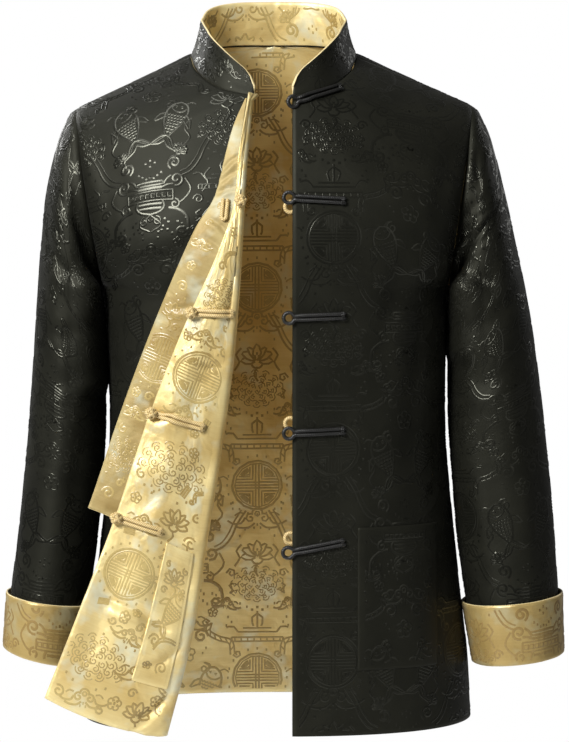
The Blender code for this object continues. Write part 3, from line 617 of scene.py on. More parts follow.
def medallion():
    """A ring round a square lattice, with a key scroll in each quarter and beads outside."""
    lines = arc(0, 0, 28.5, 0, 360, 1.7) + arc(0, 0, 25.6, 0, 360, 1.0)
    for x in (-1.9, 1.9):
        lines += stroke((x, -25), (x, 25), width=FINE_LINE)
    for y in (-3.4, 0.0, 3.4):
        lines += stroke((-25, y), (25, y), width=FINE_LINE)
    quarter = stroke((5.2, 24.0), (5.2, 7.0), (23.8, 7.0), width=FINE_LINE)
    quarter += stroke((8.6, 21.5), (8.6, 10.2), (21.0, 10.2), width=FINE_LINE)
    quarter += curl(13.5, 14.5, 4.6, 1.2, 200, 420, FINE_LINE)
    quarter += arc(0, 0, 21.0, 32, 62, 3.4)
    for mirror in (1.0, -1.0):
        half = moved(quarter, mirror=mirror)
        lines += half + [(points * (1.0, -1.0), width) for points, width in half]
    beads = [(34.5 * math.cos(a), 34.5 * math.sin(a)) for a in np.radians(np.arange(0, 360, 18))]
    return lines + dots(*beads)


def urn():
    """A footed vessel with a lid, handles and scrolls at both sides, as one half and its mirror image."""
    side = stroke((0, 24), (15, 24), (15, 20), (0, 20), width=2.0) + stroke((0, 16.6), (13, 16.6), width=2.6)
    side += bend((15, 20), (18.5, 26), (23, 29), width=1.8)
    side += bend((13, 16.5), (19, 19), (25, 19.5), width=1.8)
    window = ((-2.2, 10.5), (2.2, 10.5), (2.2, 6.0), (-2.2, 6.0), (-2.2, 10.5))
    for x in (3, 9, 15, 21):
        side += moved(stroke(*window, width=FINE_LINE), x=x)
    side += stroke((0, 13.4), (25, 13.4)) + stroke((0, 2.8), (25, 2.8)) + stroke((25, 13.4), (25, 2.8))
    side += bend((13.5, 2.8), (15.5, -4), (10, -10), (0, -12.5), width=2.0)
    side += stroke((0, -1.4), (12.5, -1.4), width=2.4) + stroke((0, -6.0), (12.0, -6.0), width=2.4)
    side += curl(7.0, -19.5, 5.5, 1.0, 95, -440) + arc(0, -16.5, 3.0, -180, 0)
    side += bend((0, -12.5), (3.5, -16), (12, -24), (1.0, -31)) + dots((4, 28), (8, 31), (12, 34), (0, 29))
    side += curl(29, 25, 8.0, 1.4, 250, 470, 2.0) + curl(27, -2, 6.0, 1.4, 90, -430, 1.8)
    side += bend((38, 26), (44, 14), (38, 4), (31, -1), width=1.6)
    side += bend((20, -6), (30, -8), (40, -16), (42, -28), width=2.4)
    side += curl(34.5, -32, 8.0, 1.5, 20, -500, 2.0)
    side += dots((16, -18), (20, -22), (14, -26), (19, -30), (24, -34), (9, -32), (30, -22), size=2.2)
    return paired(side)


def carp():
    """One carp that rises and bends, with its head at the top and a forked tail."""
    body = bend((0, 29), (-8, 25), (-12.5, 15), (-11, 3), (-6, -8), (-3, -14), width=1.8)
    body += bend((0, 29), (7.5, 25), (10.5, 15), (9.5, 4), (5, -7), (1.0, -14), width=1.8)
    body += arc(-0.8, 24.5, 9.5, 205, 335, 1.4)
    body += arc(-3.2, 22.0, 1.3, 0, 360, HAIR_LINE) + arc(3.4, 22.4, 1.3, 0, 360, HAIR_LINE)
    # Rows of scales, every other one set half a scale over: height, left end and right end.
    scale_rows = ((11.5, -11.2, 9.2), (8.1, -11.0, 9.0), (4.7, -10.4, 8.6), (1.3, -9.2, 7.6),
                  (-2.1, -8.0, 6.4), (-5.5, -6.4, 4.8), (-8.9, -4.8, 3.2))
    for k, (y, left, right) in enumerate(scale_rows):
        for x in np.arange(left + 1.6 + 1.7 * (k % 2), right - 0.6, 3.4):
            body += arc(x, y, 1.9, 185, 355, 1.2)
    for mirror in (1.0, -1.0):
        lobe = bend((0, -14), (6, -17), (13, -27), width=1.6) + bend((13, -27), (5, -25), (0, -20), width=1.6)
        lobe += bend((1.5, -16), (5, -20), (9, -25), width=1.0) + bend((10, 12), (17, 8), (20, -1), width=1.5)
        lobe += bend((9.5, 7), (14, 3), (19, -1), width=1.2)
        lobe += bend((5, 27), (10, 31), (15, 29), width=HAIR_LINE)
        body += moved(lobe, x=-1.0, mirror=mirror)
    return body


def lotus():
    """A lotus seen from the side, with five petals, on a bent stem."""
    petals = bend((0, 0), (-4.6, 7.5), (0, 17), (4.6, 7.5), (0, 0))
    side = bend((1, 0), (6.5, 4.5), (10, 13.5), (3.6, 11))
    side += bend((2, -0.5), (9.5, 0.5), (16, 7.5), (9.2, 9.2))
    side += bend((2, -1.5), (9.0, -4.5), (17, -1.0), (12.2, 3.0)) + arc(0, -2.5, 6.0, 190, 270)
    return petals + paired(side) + dots((0, 7), (-1.8, 4), (1.8, 4)) + bend((0, -8), (3, -15), (-1, -22))


def blossom(radius):
    """Five round petals about a dot."""
    lines = []
    for turn in range(90, 450, 72):
        x, y = radius * 0.62 * math.cos(math.radians(turn)), radius * 0.62 * math.sin(math.radians(turn))
        lines += arc(x, y, radius * 0.46, turn - 140, turn + 140, 1.2)
    return lines + dots((0, 0), size=2.4)


def scrolled_cloud():
    """A cloud of three scrolled lobes with two long tails."""
    lobe = curl(8.5, 2.0, 6.6, 1.3, 120, -430)
    lines = paired(lobe) + arc(0, 8.0, 6.4, -15, 195) + arc(0, 7.5, 3.0, 0, 360, 1.2)
    lines += paired(bend((14.8, 3.0), (19, -4), (29, -5), (36, -1)))
    lines += paired(bend((3, -4), (10, -9.5), (20, -10), (27, -8.0)))
    return lines + paired(bend((16, 8), (22, 9), (27, 5), width=1.2)) + dots((0, -6), (-4, -10), (4, -10))


def lattice():
    """Two lines that run side by side in an S, with slanted rungs between them."""
    s_line = ((0, 26), (9, 17), (3, 2), (-7, -11), (0, -26))
    middle = np.array([even_through(np.array(s_line), t) for t in np.linspace(0, 1, 27)])
    way = unit(np.gradient(middle, axis=0))
    side = np.stack((-way[:, 1], way[:, 0]), axis=1) * 2.7
    lines = [(middle + side, FINE_LINE), (middle - side, FINE_LINE)]
    for k in range(1, 24, 3):
        lines += stroke(middle[k] - side[k], middle[k + 2] + side[k + 2], width=HAIR_LINE)
    return lines + curl(5.5, 28.5, 5.8, 1.2, 200, -450) + curl(-5.5, -28.5, 5.8, 1.2, 20, -450)


def altar():
    """A stepped table with a fence of short bars and a flame above it."""
    lines = []
    for y, wide in ((0, 20), (3.2, 20), (7.4, 15), (10.4, 11)):
        lines += stroke((-wide, y), (wide, y), width=FINE_LINE)
    for x in np.arange(-17.5, 18, 5.0):
        lines += stroke((x, 0), (x, 3.2), width=HAIR_LINE)
    lines += stroke((-20, 0), (-20, 3.2)) + stroke((20, 0), (20, 3.2)) + stroke((0, 10.4), (0, 24), width=1.5)
    lines += paired(bend((0, 22), (4.5, 18), (3.0, 12)) + bend((15, 7.4), (19, 12), (24, 11)))
    return lines + dots((0, 27), (-4, 25), (4, 25))


def curl_cluster():
    """A dense cluster of small scrolls, as of a lion's mane, with a scalloped rim."""
    lines = []
    # Rings from the middle out: radius, how many scrolls and their size.
    for radius, count, size in ((0.0, 1, 3.8), (8.0, 6, 3.6), (15.6, 11, 3.6), (23.4, 14, 3.4)):
        for k in range(count):
            a = 2 * math.pi * (k + 0.3 * (radius > 10)) / count
            x, y = radius * math.cos(a) * 1.12, radius * math.sin(a) * 0.86
            if radius > 20 and y < -9:
                continue
            turn = math.degrees(a)
            lines += curl(x, y, size, 0.9, turn + 160, -400 if k % 2 else 400, 0.9)
            if radius > 6:
                lines += arc(x * 1.03, y * 1.03, size + 1.1, turn - 66, turn + 66, 0.8)
    return lines + dots((-31, -6), (31, -7), (-20, -20), (20, -20), (0, 27), (12, -24), (-12, -24))


def repeat_chart(lead):
    """One repeat: medallions stand in one column, urns and carp in the next, and scrolls join them.
    lead is how far up the medallions' column stands."""
    half = REPEAT[0] / MILLIMETRE / 2.0
    lines = medallion() + moved(altar(), y=43.0, grow=1.5) + moved(curl_cluster(), y=108.0)
    lines += moved(lotus(), y=144.0, grow=1.1) + moved(scrolled_cloud(), y=187.0, grow=0.95)
    lines = moved(lines, y=lead)
    lines += moved(urn(), half, 122.0) + moved(blossom(9.0), half, 30.0)
    lines += moved(scrolled_cloud(), half, 66.0, grow=0.8)
    lines += moved(carp(), half - 22.0, 212.0, turn=22, grow=1.05)
    lines += moved(carp(), half + 22.0, 212.0, turn=-22, grow=1.05, mirror=-1.0)
    lines += dots((half - 5, 168), (half, 171), (half + 5, 168), (half, 164))
    side = moved(lattice(), 42.0, 47.0, turn=-34, grow=0.9) + curl(66.0, 50.0, 9.0, 1.5, 180, -500, 2.0)
    side += moved(blossom(5.5), 52.0, 78.0) + curl(62.0, 12.0, 7.0, 1.4, 90, 460)
    side += curl(56.0, 166.0, 8.0, 1.5, -60, 500, 2.0) + moved(lotus(), 51.0, 179.0, turn=24, grow=0.5)
    side += bend((13, 198), (23, 182), (29, 168), (38, 156), (50, 150), width=1.5)
    side += bend((18, 199), (27, 184), (33, 171), (41, 160), (50, 155), width=1.2)
    side += moved(scrolled_cloud(), 36.0, 88.0, grow=0.5, turn=14) + curl(30.0, 124.0, 6.0, 1.3, 0, 440)
    side += bend((38, -12), (46, -22), (40, -34), (48, -44))
    side += bend((26, 132), (20, 142), (24, 150), (18, 158))
    side += bend((32, 100), (27, 104), (33, 108), (28, 112)) + dots((60, 36), (64, 30), (44, 104), (48, 98))
    side += dots((30, 66), (36, 62), (34, 72), (74, 84), (70, 92), (30, 206), (28, 200), (14, 176), (20, 168))
    return lines + paired(side)


chart = repeat_chart(0.0)

# How far a place found on the cloth may lie from the one looked for.
CHART_MISS = 0.0006


def between(field, a, b, s, t):
    """A field's values inside its cells: s and t are the shares of the way across each cell."""
    return (1 - s) * ((1 - t) * field[a, b] + t * field[a, b + 1]) + s * (
        (1 - t) * field[a + 1, b] + t * field[a + 1, b + 1])


def at_cloth(patch, u, v):
    """The places and outward directions on a patch at these cloth coordinates, and which of them lie
    on it. The coordinates grow unevenly over the grid, so each place is found in a few steps."""
    across, up = patch["across"], patch["up"]
    rows, columns = across.shape
    i = np.interp(v, up[:, columns // 2], np.arange(rows))
    whole = np.clip(i.astype(int), 0, rows - 1)
    j = (u - across[whole, 0]) / (across[whole, -1] - across[whole, 0]) * (columns - 1)
    for _ in range(6):
        i, j = np.clip(i, 0, rows - 1.001), np.clip(j, 0, columns - 1.001)
        a, b = i.astype(int), j.astype(int)
        s, t = i - a, j - b
        slopes = []
        for field in (across, up):
            corner, right = field[a, b], field[a, b + 1]
            above, opposite = field[a + 1, b], field[a + 1, b + 1]
            slopes += [(1 - t) * (above - corner) + t * (opposite - right),
                       (1 - s) * (right - corner) + s * (opposite - above)]
        u_by_i, u_by_j, v_by_i, v_by_j = slopes
        miss_u, miss_v = u - between(across, a, b, s, t), v - between(up, a, b, s, t)
        area = u_by_i * v_by_j - u_by_j * v_by_i
        area = np.where(np.abs(area) < 1e-12, 1e-12, area)
        i = i + np.clip((miss_u * v_by_j - miss_v * u_by_j) / area, -8, 8)
        j = j + np.clip((u_by_i * miss_v - v_by_i * miss_u) / area, -8, 8)
    margin = patch.get("margin", 1.0)
    ok = (i > margin) & (i < rows - 1 - margin) & (j > margin) & (j < columns - 1 - margin)
    ok &= (np.abs(miss_u) < CHART_MISS) & (np.abs(miss_v) < CHART_MISS)
    if "allowed" in patch:
        ok &= patch["allowed"](u, v)
    i, j = np.clip(i, 0, rows - 1.001), np.clip(j, 0, columns - 1.001)
    a, b = i.astype(int), j.astype(int)
    s, t = (i - a)[:, None], (j - b)[:, None]
    return between(patch["points"], a, b, s, t), unit(between(patch["outward"], a, b, s, t)), ok


def figure_lines(patch, origin, chart=chart):
    """All of the chart's lines that may fall on the patch, in metres of its cloth."""
    low = np.array((patch["across"].min(), patch["up"].min()))
    high = np.array((patch["across"].max(), patch["up"].max()))
    count = int(np.linalg.norm(high - low) / REPEAT[0]) + 2
    lines = []
    for steps_across in range(-count, count + 1):
        for steps_up in range(-count, count + 1):
            shift = np.array((steps_across * REPEAT[0], steps_up * REPEAT[1])) + origin
            if (shift < low - REPEAT_AHEAD).any() or (shift > high + REPEAT_BEHIND).any():
                continue
            lines += [(points * MILLIMETRE + shift, width * MILLIMETRE) for points, width in chart]
    return [(line, width) for line, width in lines
            if (line.max(axis=0) > low).all() and (line.min(axis=0) < high).all()]


def motifs_at(*placed):
    """Single motifs set one by one on the cloth: each is its lines, its place in millimetres, its turn and
    its size."""
    return [(points * MILLIMETRE, width * MILLIMETRE) for lines, u, v, turn, grow in placed
            for points, width in moved(lines, u, v, turn, grow)]


FIGURE_RISE = 0.00042
FIGURE_FOOT = 0.00008
# How much wider a line's ridge is than the line itself.
FIGURE_SPREAD = 1.9
FIGURE_STEP = 0.0065


def lay_figure(name, patches, material, slot, every=1):
    """Lays lines on their patches as low ridges whose feet are just under the cloth. A patch's inner
    side is used when it says how far below the outer one that is. every thins out the points."""
    points_out, faces_out = [], []
    total = 0
    for patch, lines in patches:
        inner = patch.get("inner", 0.0)
        tracks, halves, starts = [], [], []
        for line, width in lines:
            if every > 1 and len(line) > 5:
                line = np.concatenate((line[:-1:every], line[-1:]))
            steps = np.linalg.norm(np.diff(line, axis=0), axis=1)
            counts = np.maximum(1, np.ceil(steps / FIGURE_STEP).astype(int))
            place = np.concatenate([k + np.arange(count) / count for k, count in enumerate(counts)])
            place = np.append(place, len(steps))
            line = np.stack([np.interp(place, np.arange(len(line)), line[:, c]) for c in range(2)], axis=1)
            way = unit(np.gradient(line, axis=0))
            if len(line) > 3 and np.allclose(line[0], line[-1], atol=1e-6):
                way[0] = way[-1] = unit(line[1] - line[-2])
            tracks.append(line)
            halves.append(np.stack((-way[:, 1], way[:, 0]), axis=1) * width * FIGURE_SPREAD / 2.0)
            starts.append(len(line))
        ends = np.cumsum(starts)
        track, half = np.concatenate(tracks), np.concatenate(halves)
        rails, ok = [], np.ones(len(track), bool)
        for shift, lift in ((half, -FIGURE_FOOT), (0.0 * half, FIGURE_RISE), (-half, -FIGURE_FOOT)):
            places, ways, on_cloth = at_cloth(patch, *(track + shift).T)
            rails.append(places - ways * (inner + lift) if inner else places + ways * lift)
            ok &= on_cloth
        rails = np.stack(rails, axis=1)
        first = np.zeros(len(track), bool)
        first[np.concatenate(([0], ends[:-1]))] = True
        begins = ok & (first | ~np.concatenate(([False], ok[:-1])))
        last = np.zeros(len(track), bool)
        last[ends - 1] = True
        stops = ok & (last | ~np.concatenate((ok[1:], [False])))
        for start, end in zip(np.flatnonzero(begins), np.flatnonzero(stops) + 1):
            if end - start < 2:
                continue
            points_out.append(rails[start:end].reshape(-1, 3))
            foot = total + 3 * np.arange(end - start - 1)
            slope = np.stack((foot + 1, foot, foot + 3, foot + 4), axis=1)
            quads = np.concatenate((slope, slope + 1))
            faces_out += (quads[:, ::-1] if inner else quads).tolist()
            total += 3 * (end - start)
    figure = add_mesh(name, np.concatenate(points_out), faces_out, [material])
    finish_piece(figure, slot)
    return figure


def body_chart(points, centre_column, centre_across):
    """Cloth coordinates of a body panel, whose grain runs straight up: lengths along the level and
    lengths up the cloth."""
    level = np.linalg.norm(np.diff(points[..., :2], axis=1), axis=2)
    across = np.concatenate((np.zeros((len(points), 1)), np.cumsum(level, axis=1)), axis=1)
    across += (centre_across - across[:, centre_column])[:, None]
    upward = np.linalg.norm(np.diff(points[..., 1:], axis=0), axis=2)
    up = HEM_Z + np.concatenate((np.zeros((1, points.shape[1])), np.cumsum(upward, axis=0)))
    return across, up


def patch_of(points, outward, across, up, **settings):
    return {"points": points, "outward": outward, "across": across, "up": up + 0 * across, **settings}


def float_silk(name, dark, light, rough, sheen=0.1, specular=0.5, glint=(1.0, 1.0, 1.0, 1.0)):
    """The figure's own yarn: it floats over the ground, so it is smoother and catches more light."""
    material, node = new_material(name)
    place = node("ShaderNodeTexCoord").outputs["Object"]
    grain = node("ShaderNodeTexNoise", Vector=place, Scale=420.0, Detail=2.0)
    patchy = node("ShaderNodeTexNoise", Vector=place, Scale=9.0, Detail=2.0)
    tone = times_plus(node, grain.outputs["Fac"], 0.4, patchy.outputs["Fac"])
    share = node("ShaderNodeMapRange", Value=tone, From_Min=0.45, From_Max=0.95).outputs[0]
    roughness = node("ShaderNodeMapRange", Value=patchy.outputs["Fac"],
                     To_Min=rough - 0.06, To_Max=rough + 0.06)
    bump = node("ShaderNodeBump", Strength=0.25, Distance=0.0001, Height=grain.outputs["Fac"])
    silk_surface(node, blended(node, share, dark, light), roughness, bump, sheen, 0.35,
                 Specular_IOR_Level=specular, Specular_Tint=glint)
    return material


black_figure = float_silk("black_figure_silk", (0.0036, 0.0037, 0.0027, 1.0), (0.0095, 0.0095, 0.0070, 1.0),
                          0.28, sheen=0.02, specular=0.37, glint=(1.0, 1.0, 0.82, 1.0))
gold_figure = float_silk("gold_figure_silk", (0.27, 0.175, 0.050, 1.0), (0.52, 0.40, 0.155, 1.0), 0.28)

FRONT_COLUMNS = 53
# The column along which the cloth's height is measured, near the panel's middle.
FRONT_MIDDLE = 21
# Where a medallion of the repeat stands on the left front: across from the middle, and up.
LEFT_CHART = (0.0640, -0.1970)
rows, lengths = [], []
for up in FRONT_UPS:
    row, length = even_row(half_row(1, "front", FINE, up)[::-1], FRONT_COLUMNS)
    rows.append(row)
    lengths.append(length)
rows = np.array(rows)
left_front = new_grid(rows, HEM_Z + distance_along(rows[:, FRONT_MIDDLE]), rows[:, 0, 0], lengths)
crease_all(left_front, (
    (((0.150, -0.200), (0.128, -0.260), (0.112, -0.340)), 0.011, 0.0016),
    (((0.178, -0.215), (0.160, -0.290), (0.150, -0.390), (0.146, -0.480)), 0.012, 0.0018),
    (((0.070, -0.300), (0.064, -0.420), (0.070, -0.540)), 0.017, 0.0012),
    (((0.120, -0.430), (0.117, -0.540), (0.124, -0.700)), 0.016, 0.0014),
    (((0.040, -0.560), (0.048, -0.650), (0.044, -0.728)), 0.014, 0.0012),
    (((0.175, -0.520), (0.182, -0.620), (0.180, -0.725)), 0.013, 0.0015),
    (((0.196, -0.090), (0.182, -0.140), (0.176, -0.200)), 0.009, 0.0012),
    (((0.060, -0.062), (0.090, -0.095), (0.130, -0.130)), 0.013, 0.0010),
    (((0.186, -0.262), (0.160, -0.270), (0.130, -0.262)), 0.006, 0.0011),
    (((0.190, -0.300), (0.168, -0.318), (0.140, -0.316)), 0.007, 0.0009),
))
# Beside the side seam and the armhole, and beside the shoulder seam.
seam_dip(left_front, (1.0 - np.linspace(0, 1, FRONT_COLUMNS)) * left_front["length"][:, None])
seam_dip(left_front, left_front["up"][-1] - left_front["up"][:, None])
settle(left_front)
front_left_cloth = shell("front_left_cloth", left_front, [black_satin, gold_satin, black_satin],
                         tuck=tucked(left_front, column=-1))
finish_piece(front_left_cloth, "black_brocade", "front_left", "front_left_lining")
left_patch = patch_of(left_front["points"], left_front["outward"],
                      *body_chart(left_front["points"], 0, left_front["start"]))
left_inside = {**left_patch, "inner": CLOTH_THICKNESS}
left_figure = lay_figure("front_left_figure", [(left_patch, figure_lines(left_patch, LEFT_CHART))],
                         black_figure, "black_brocade")
left_lining_figure = lay_figure("front_left_lining_figure",
                                [(left_inside, figure_lines(left_inside, (0.120, -0.300)))], gold_figure,
                                "gold_brocade", every=2)

# Right front: a panel of black brocade outside and gold brocade inside, like the left one, but its front
# edge is turned outward along a slanting fold, so its gold side shows from the fold to the free edge.
FLAP_SECTIONS = (
    # Share of the way up, fold x, the roll's radius, then the free edge's x, y and z.
    (0.00, -0.1165, 0.0080, -0.2435, -0.146, -0.6870),
    (0.15, -0.0902, 0.0078, -0.2035, -0.142, -0.5870),
    (0.30, -0.0735, 0.0076, -0.1660, -0.137, -0.4890),
    (0.45, -0.0572, 0.0074, -0.1333, -0.133, -0.3918),
    (0.60, -0.0435, 0.0068, -0.0965, -0.136, -0.2980),
    (0.75, -0.0355, 0.0050, -0.0545, -0.142, -0.2040),
    (0.84, -0.0322, 0.0038, -0.0400, -0.134, -0.1567),
    (0.90, -0.0298, 0.0032, -0.0360, -0.122, -0.1080),
    (1.00, -0.0235, 0.0025, -0.0272, -0.0975, -0.0455),
)
BODY_COLUMNS = 51
ROLL_COLUMNS = 9
FLAP_COLUMNS = 46
RIGHT_MIDDLE = 36
# How far the folded-back part stands out between fold and edge, and how far its hem sags.
FLAP_CROWN = 0.006
HEM_SAG = 0.005


def centre_share(up):
    """How far along the centre edge from hem to neck a row lies."""
    if up <= 1.0:
        z = HEM_Z + (ARMPIT_Z - HEM_Z) * up
    else:
        z = even_through(CENTRE_FRONT, (up - 1.0) / (NECK_UP - 1.0))[1]
    return (z - HEM_Z) / (CENTRE_FRONT[-1][1] - HEM_Z)


def right_row(up):
    """The right front's body part of one row, from the side to where its fold begins."""
    if up >= NECK_UP:
        return even_row(half_row(-1, "front", FINE, up), BODY_COLUMNS)
    fold_x, roll = section(FLAP_SECTIONS, centre_share(up))[:2]
    edge_x = fold_x - roll
    if up <= 1.0:
        return even_row(body_row(HEM_Z + (ARMPIT_Z - HEM_Z) * up, FINE, "front", -1, edge_x), BODY_COLUMNS)
    row = half_row(-1, "front", FINE, up)
    if row[-1, 0] > edge_x:
        last = int(np.argmax(row[:, 0] > edge_x))
        t = (edge_x - row[last - 1, 0]) / (row[last, 0] - row[last - 1, 0])
        row = np.concatenate((row[:last], [row[last - 1] + t * (row[last] - row[last - 1])]))
    return even_row(row, BODY_COLUMNS)


folded_ups = FRONT_UPS[:NECK_ROW + 1]
fold_line = np.array([right_row(up)[0][-1] for up in folded_ups])
fold_shares = np.array([centre_share(up) for up in folded_ups])


def flap_row(share, outs):
    """Points of the folded-back part: share is 0 at the hem and 1 at the neck, outs are 1 at the edge."""
    roll, edge_x, edge_y, edge_z = section(FLAP_SECTIONS, share)[1:]
    fold = np.array([np.interp(share, fold_shares, fold_line[:, k]) for k in range(3)])
    fold[1] -= 2.0 * roll
    way = np.array((edge_x, edge_y, edge_z)) - fold
    outs = np.asarray(outs, float)
    crown = 4.0 * outs * (1.0 - outs)
    points = fold + way * outs[:, None]
    points[:, 1] -= FLAP_CROWN * min(1.0, np.linalg.norm(way) / 0.08) * crown
    points[:, 2] -= HEM_SAG * max(0.0, 1.0 - share / 0.2) * crown
    return points


rows, lengths, flap_lengths = [], [], []
for k, up in enumerate(FRONT_UPS):
    body, length = right_row(up)
    if k <= NECK_ROW:
        share = fold_shares[k]
        roll = section(FLAP_SECTIONS, share)[1]
        turns = np.pi * np.arange(1, ROLL_COLUMNS + 1) / ROLL_COLUMNS
        rolled = body[-1] + roll * np.stack((np.sin(turns), np.cos(turns) - 1.0, 0.0 * turns), axis=1)
        flap = flap_row(share, np.arange(1, FLAP_COLUMNS + 1) / FLAP_COLUMNS)
        flap_lengths.append(length_of(np.concatenate((rolled[-1:], flap))))
    else:
        # Above the foot of the neckline there is no fold, and these columns hold no cells.
        rolled = np.tile(body[-1], (ROLL_COLUMNS, 1))
        flap = np.tile(body[-1], (FLAP_COLUMNS, 1))
        flap_lengths.append(0.01)
    rows.append(np.concatenate((body, rolled, flap)))
    lengths.append(length)
rows, lengths, flap_lengths = np.array(rows), np.array(lengths), np.array(flap_lengths)
flap_first = BODY_COLUMNS + ROLL_COLUMNS - 1
right_front = new_grid(rows, HEM_Z + distance_along(rows[:, RIGHT_MIDDLE]),
                       rows[:, BODY_COLUMNS - 1, 0] - lengths, lengths + flap_lengths + 0.01,
                       cells=lambda i, j: (j < BODY_COLUMNS - 1) | (i < NECK_ROW))
crease_all(right_front, (
    (((-0.196, -0.092), (-0.178, -0.150), (-0.168, -0.235)), 0.010, 0.0022),
    (((-0.184, -0.100), (-0.160, -0.150), (-0.150, -0.220)), 0.010, 0.0015),
    (((-0.060, -0.110), (-0.100, -0.150), (-0.150, -0.185)), 0.013, 0.0012),
    (((-0.050, -0.180), (-0.100, -0.215), (-0.165, -0.240)), 0.012, 0.0014),
    (((-0.070, -0.250), (-0.120, -0.262), (-0.175, -0.275)), 0.010, 0.0010),
    (((-0.150, -0.300), (-0.158, -0.400), (-0.164, -0.500)), 0.014, 0.0016),
    (((-0.178, -0.380), (-0.184, -0.520), (-0.196, -0.700)), 0.013, 0.0016),
))
right_front["rise"][:, BODY_COLUMNS - 4:] = 0.0
body_rise = right_front["rise"].copy()
crease_all(right_front, (
    (((-0.052, -0.290), (-0.080, -0.360), (-0.098, -0.430)), 0.012, 0.0020),
    (((-0.078, -0.420), (-0.104, -0.520), (-0.130, -0.640)), 0.016, 0.0020),
    (((-0.160, -0.520), (-0.178, -0.590), (-0.206, -0.660)), 0.013, 0.0022),
    (((-0.192, -0.575), (-0.1415, -0.596), (-0.1075, -0.621)), 0.0065, 0.0034),
    (((-0.1245, -0.5154), (-0.096, -0.517), (-0.0694, -0.5154)), 0.0040, 0.0014),
    (((-0.1415, -0.3744), (-0.1203, -0.388), (-0.094, -0.382)), 0.0050, 0.0018),
    (((-0.1075, -0.2716), (-0.098, -0.273), (-0.0885, -0.2716)), 0.0034, 0.0012),
    (((-0.097, -0.241), (-0.085, -0.251), (-0.0726, -0.2547)), 0.0034, 0.0010),
    (((-0.1475, -0.6067), (-0.134, -0.615), (-0.1205, -0.6254)), 0.0045, 0.0014),
    (((-0.0906, -0.6257), (-0.1203, -0.6511), (-0.1563, -0.6553)), 0.0075, 0.0030),
    (((-0.1480, -0.7150), (-0.125, -0.701), (-0.1033, -0.680)), 0.0060, 0.0030),
    (((-0.1640, -0.7265), (-0.1450, -0.7210), (-0.1280, -0.7140)), 0.0034, 0.0016),
    (((-0.062, -0.435), (-0.100, -0.462), (-0.145, -0.478)), 0.0140, 0.0020),
    (((-0.076, -0.552), (-0.108, -0.574), (-0.136, -0.570)), 0.0120, 0.0018),
    (((-0.045, -0.325), (-0.066, -0.334), (-0.086, -0.330)), 0.0050, 0.0012),
    (((-0.034, -0.230), (-0.044, -0.262), (-0.052, -0.300)), 0.0060, 0.0012),
), facing=1, deepen=1.6)
# Those last folds are the folded-back part's own. Its gold side is seen, so they turn the other way.
right_front["rise"] = 2.0 * body_rise - right_front["rise"]
right_front["rise"][:, :flap_first] = body_rise[:, :flap_first]
from_side = np.linspace(0, 1, BODY_COLUMNS) * lengths[:, None]
right_front["rise"][:, :BODY_COLUMNS] -= SEAM_DEPTH * np.exp(-(from_side / SEAM_REACH) ** 2)
settle(right_front)
tuck = tucked(right_front, column=0)
tuck[-1, :flap_first] = NO_TUCK
front_right_cloth = shell("front_right_cloth", right_front, [black_satin, gold_satin, gold_edge], tuck=tuck)
finish_piece(front_right_cloth, "black_brocade", "front_right", "front_right_lining")
body_points = right_front["points"][:, :BODY_COLUMNS]
right_patch = patch_of(body_points, right_front["outward"][:, :BODY_COLUMNS],
                       *body_chart(body_points, BODY_COLUMNS - 1, rows[:, BODY_COLUMNS - 1, 0]))
right_lines = figure_lines(right_patch, (-0.2142, -0.2789), chart=repeat_chart(92.0))
right_figure = lay_figure("front_right_figure", [(right_patch, right_lines)], black_figure, "black_brocade")
# The folded-back part is charted from its free edge, which is the straight grain: its fold is on the
# right as it is seen.
flap_points, flap_outward = (right_front[field][:NECK_ROW + 1, flap_first:][:, ::-1]
                             for field in ("points", "outward"))
flap_across = np.linspace(0.0, 1.0, flap_points.shape[1]) * flap_lengths[:NECK_ROW + 1, None]
flap_patch = patch_of(flap_points, flap_outward, flap_across, distance_along(flap_points[:, 0])[:, None],
                      inner=CLOTH_THICKNESS)
swirl = curl(0, 0, 8.0, 1.4, 180, -500)
hook = curl(0, 0, 5.5, 1.2, 20, 430)
double_bend = bend((-16, -3), (-6, 5), (6, 4), (17, -4)) + bend((-16, 0), (-6, 8.4), (6, 7.4), (18, -0.5))
bars = stroke((-9, 0), (9, 0)) + stroke((-9, 3.4), (9, 3.4)) + stroke((-9, 6.8), (9, 6.8))
cloud = scrolled_cloud()
mane = curl_cluster()
three_dots = dots((0, 0), (5, 4), (-4, 5))
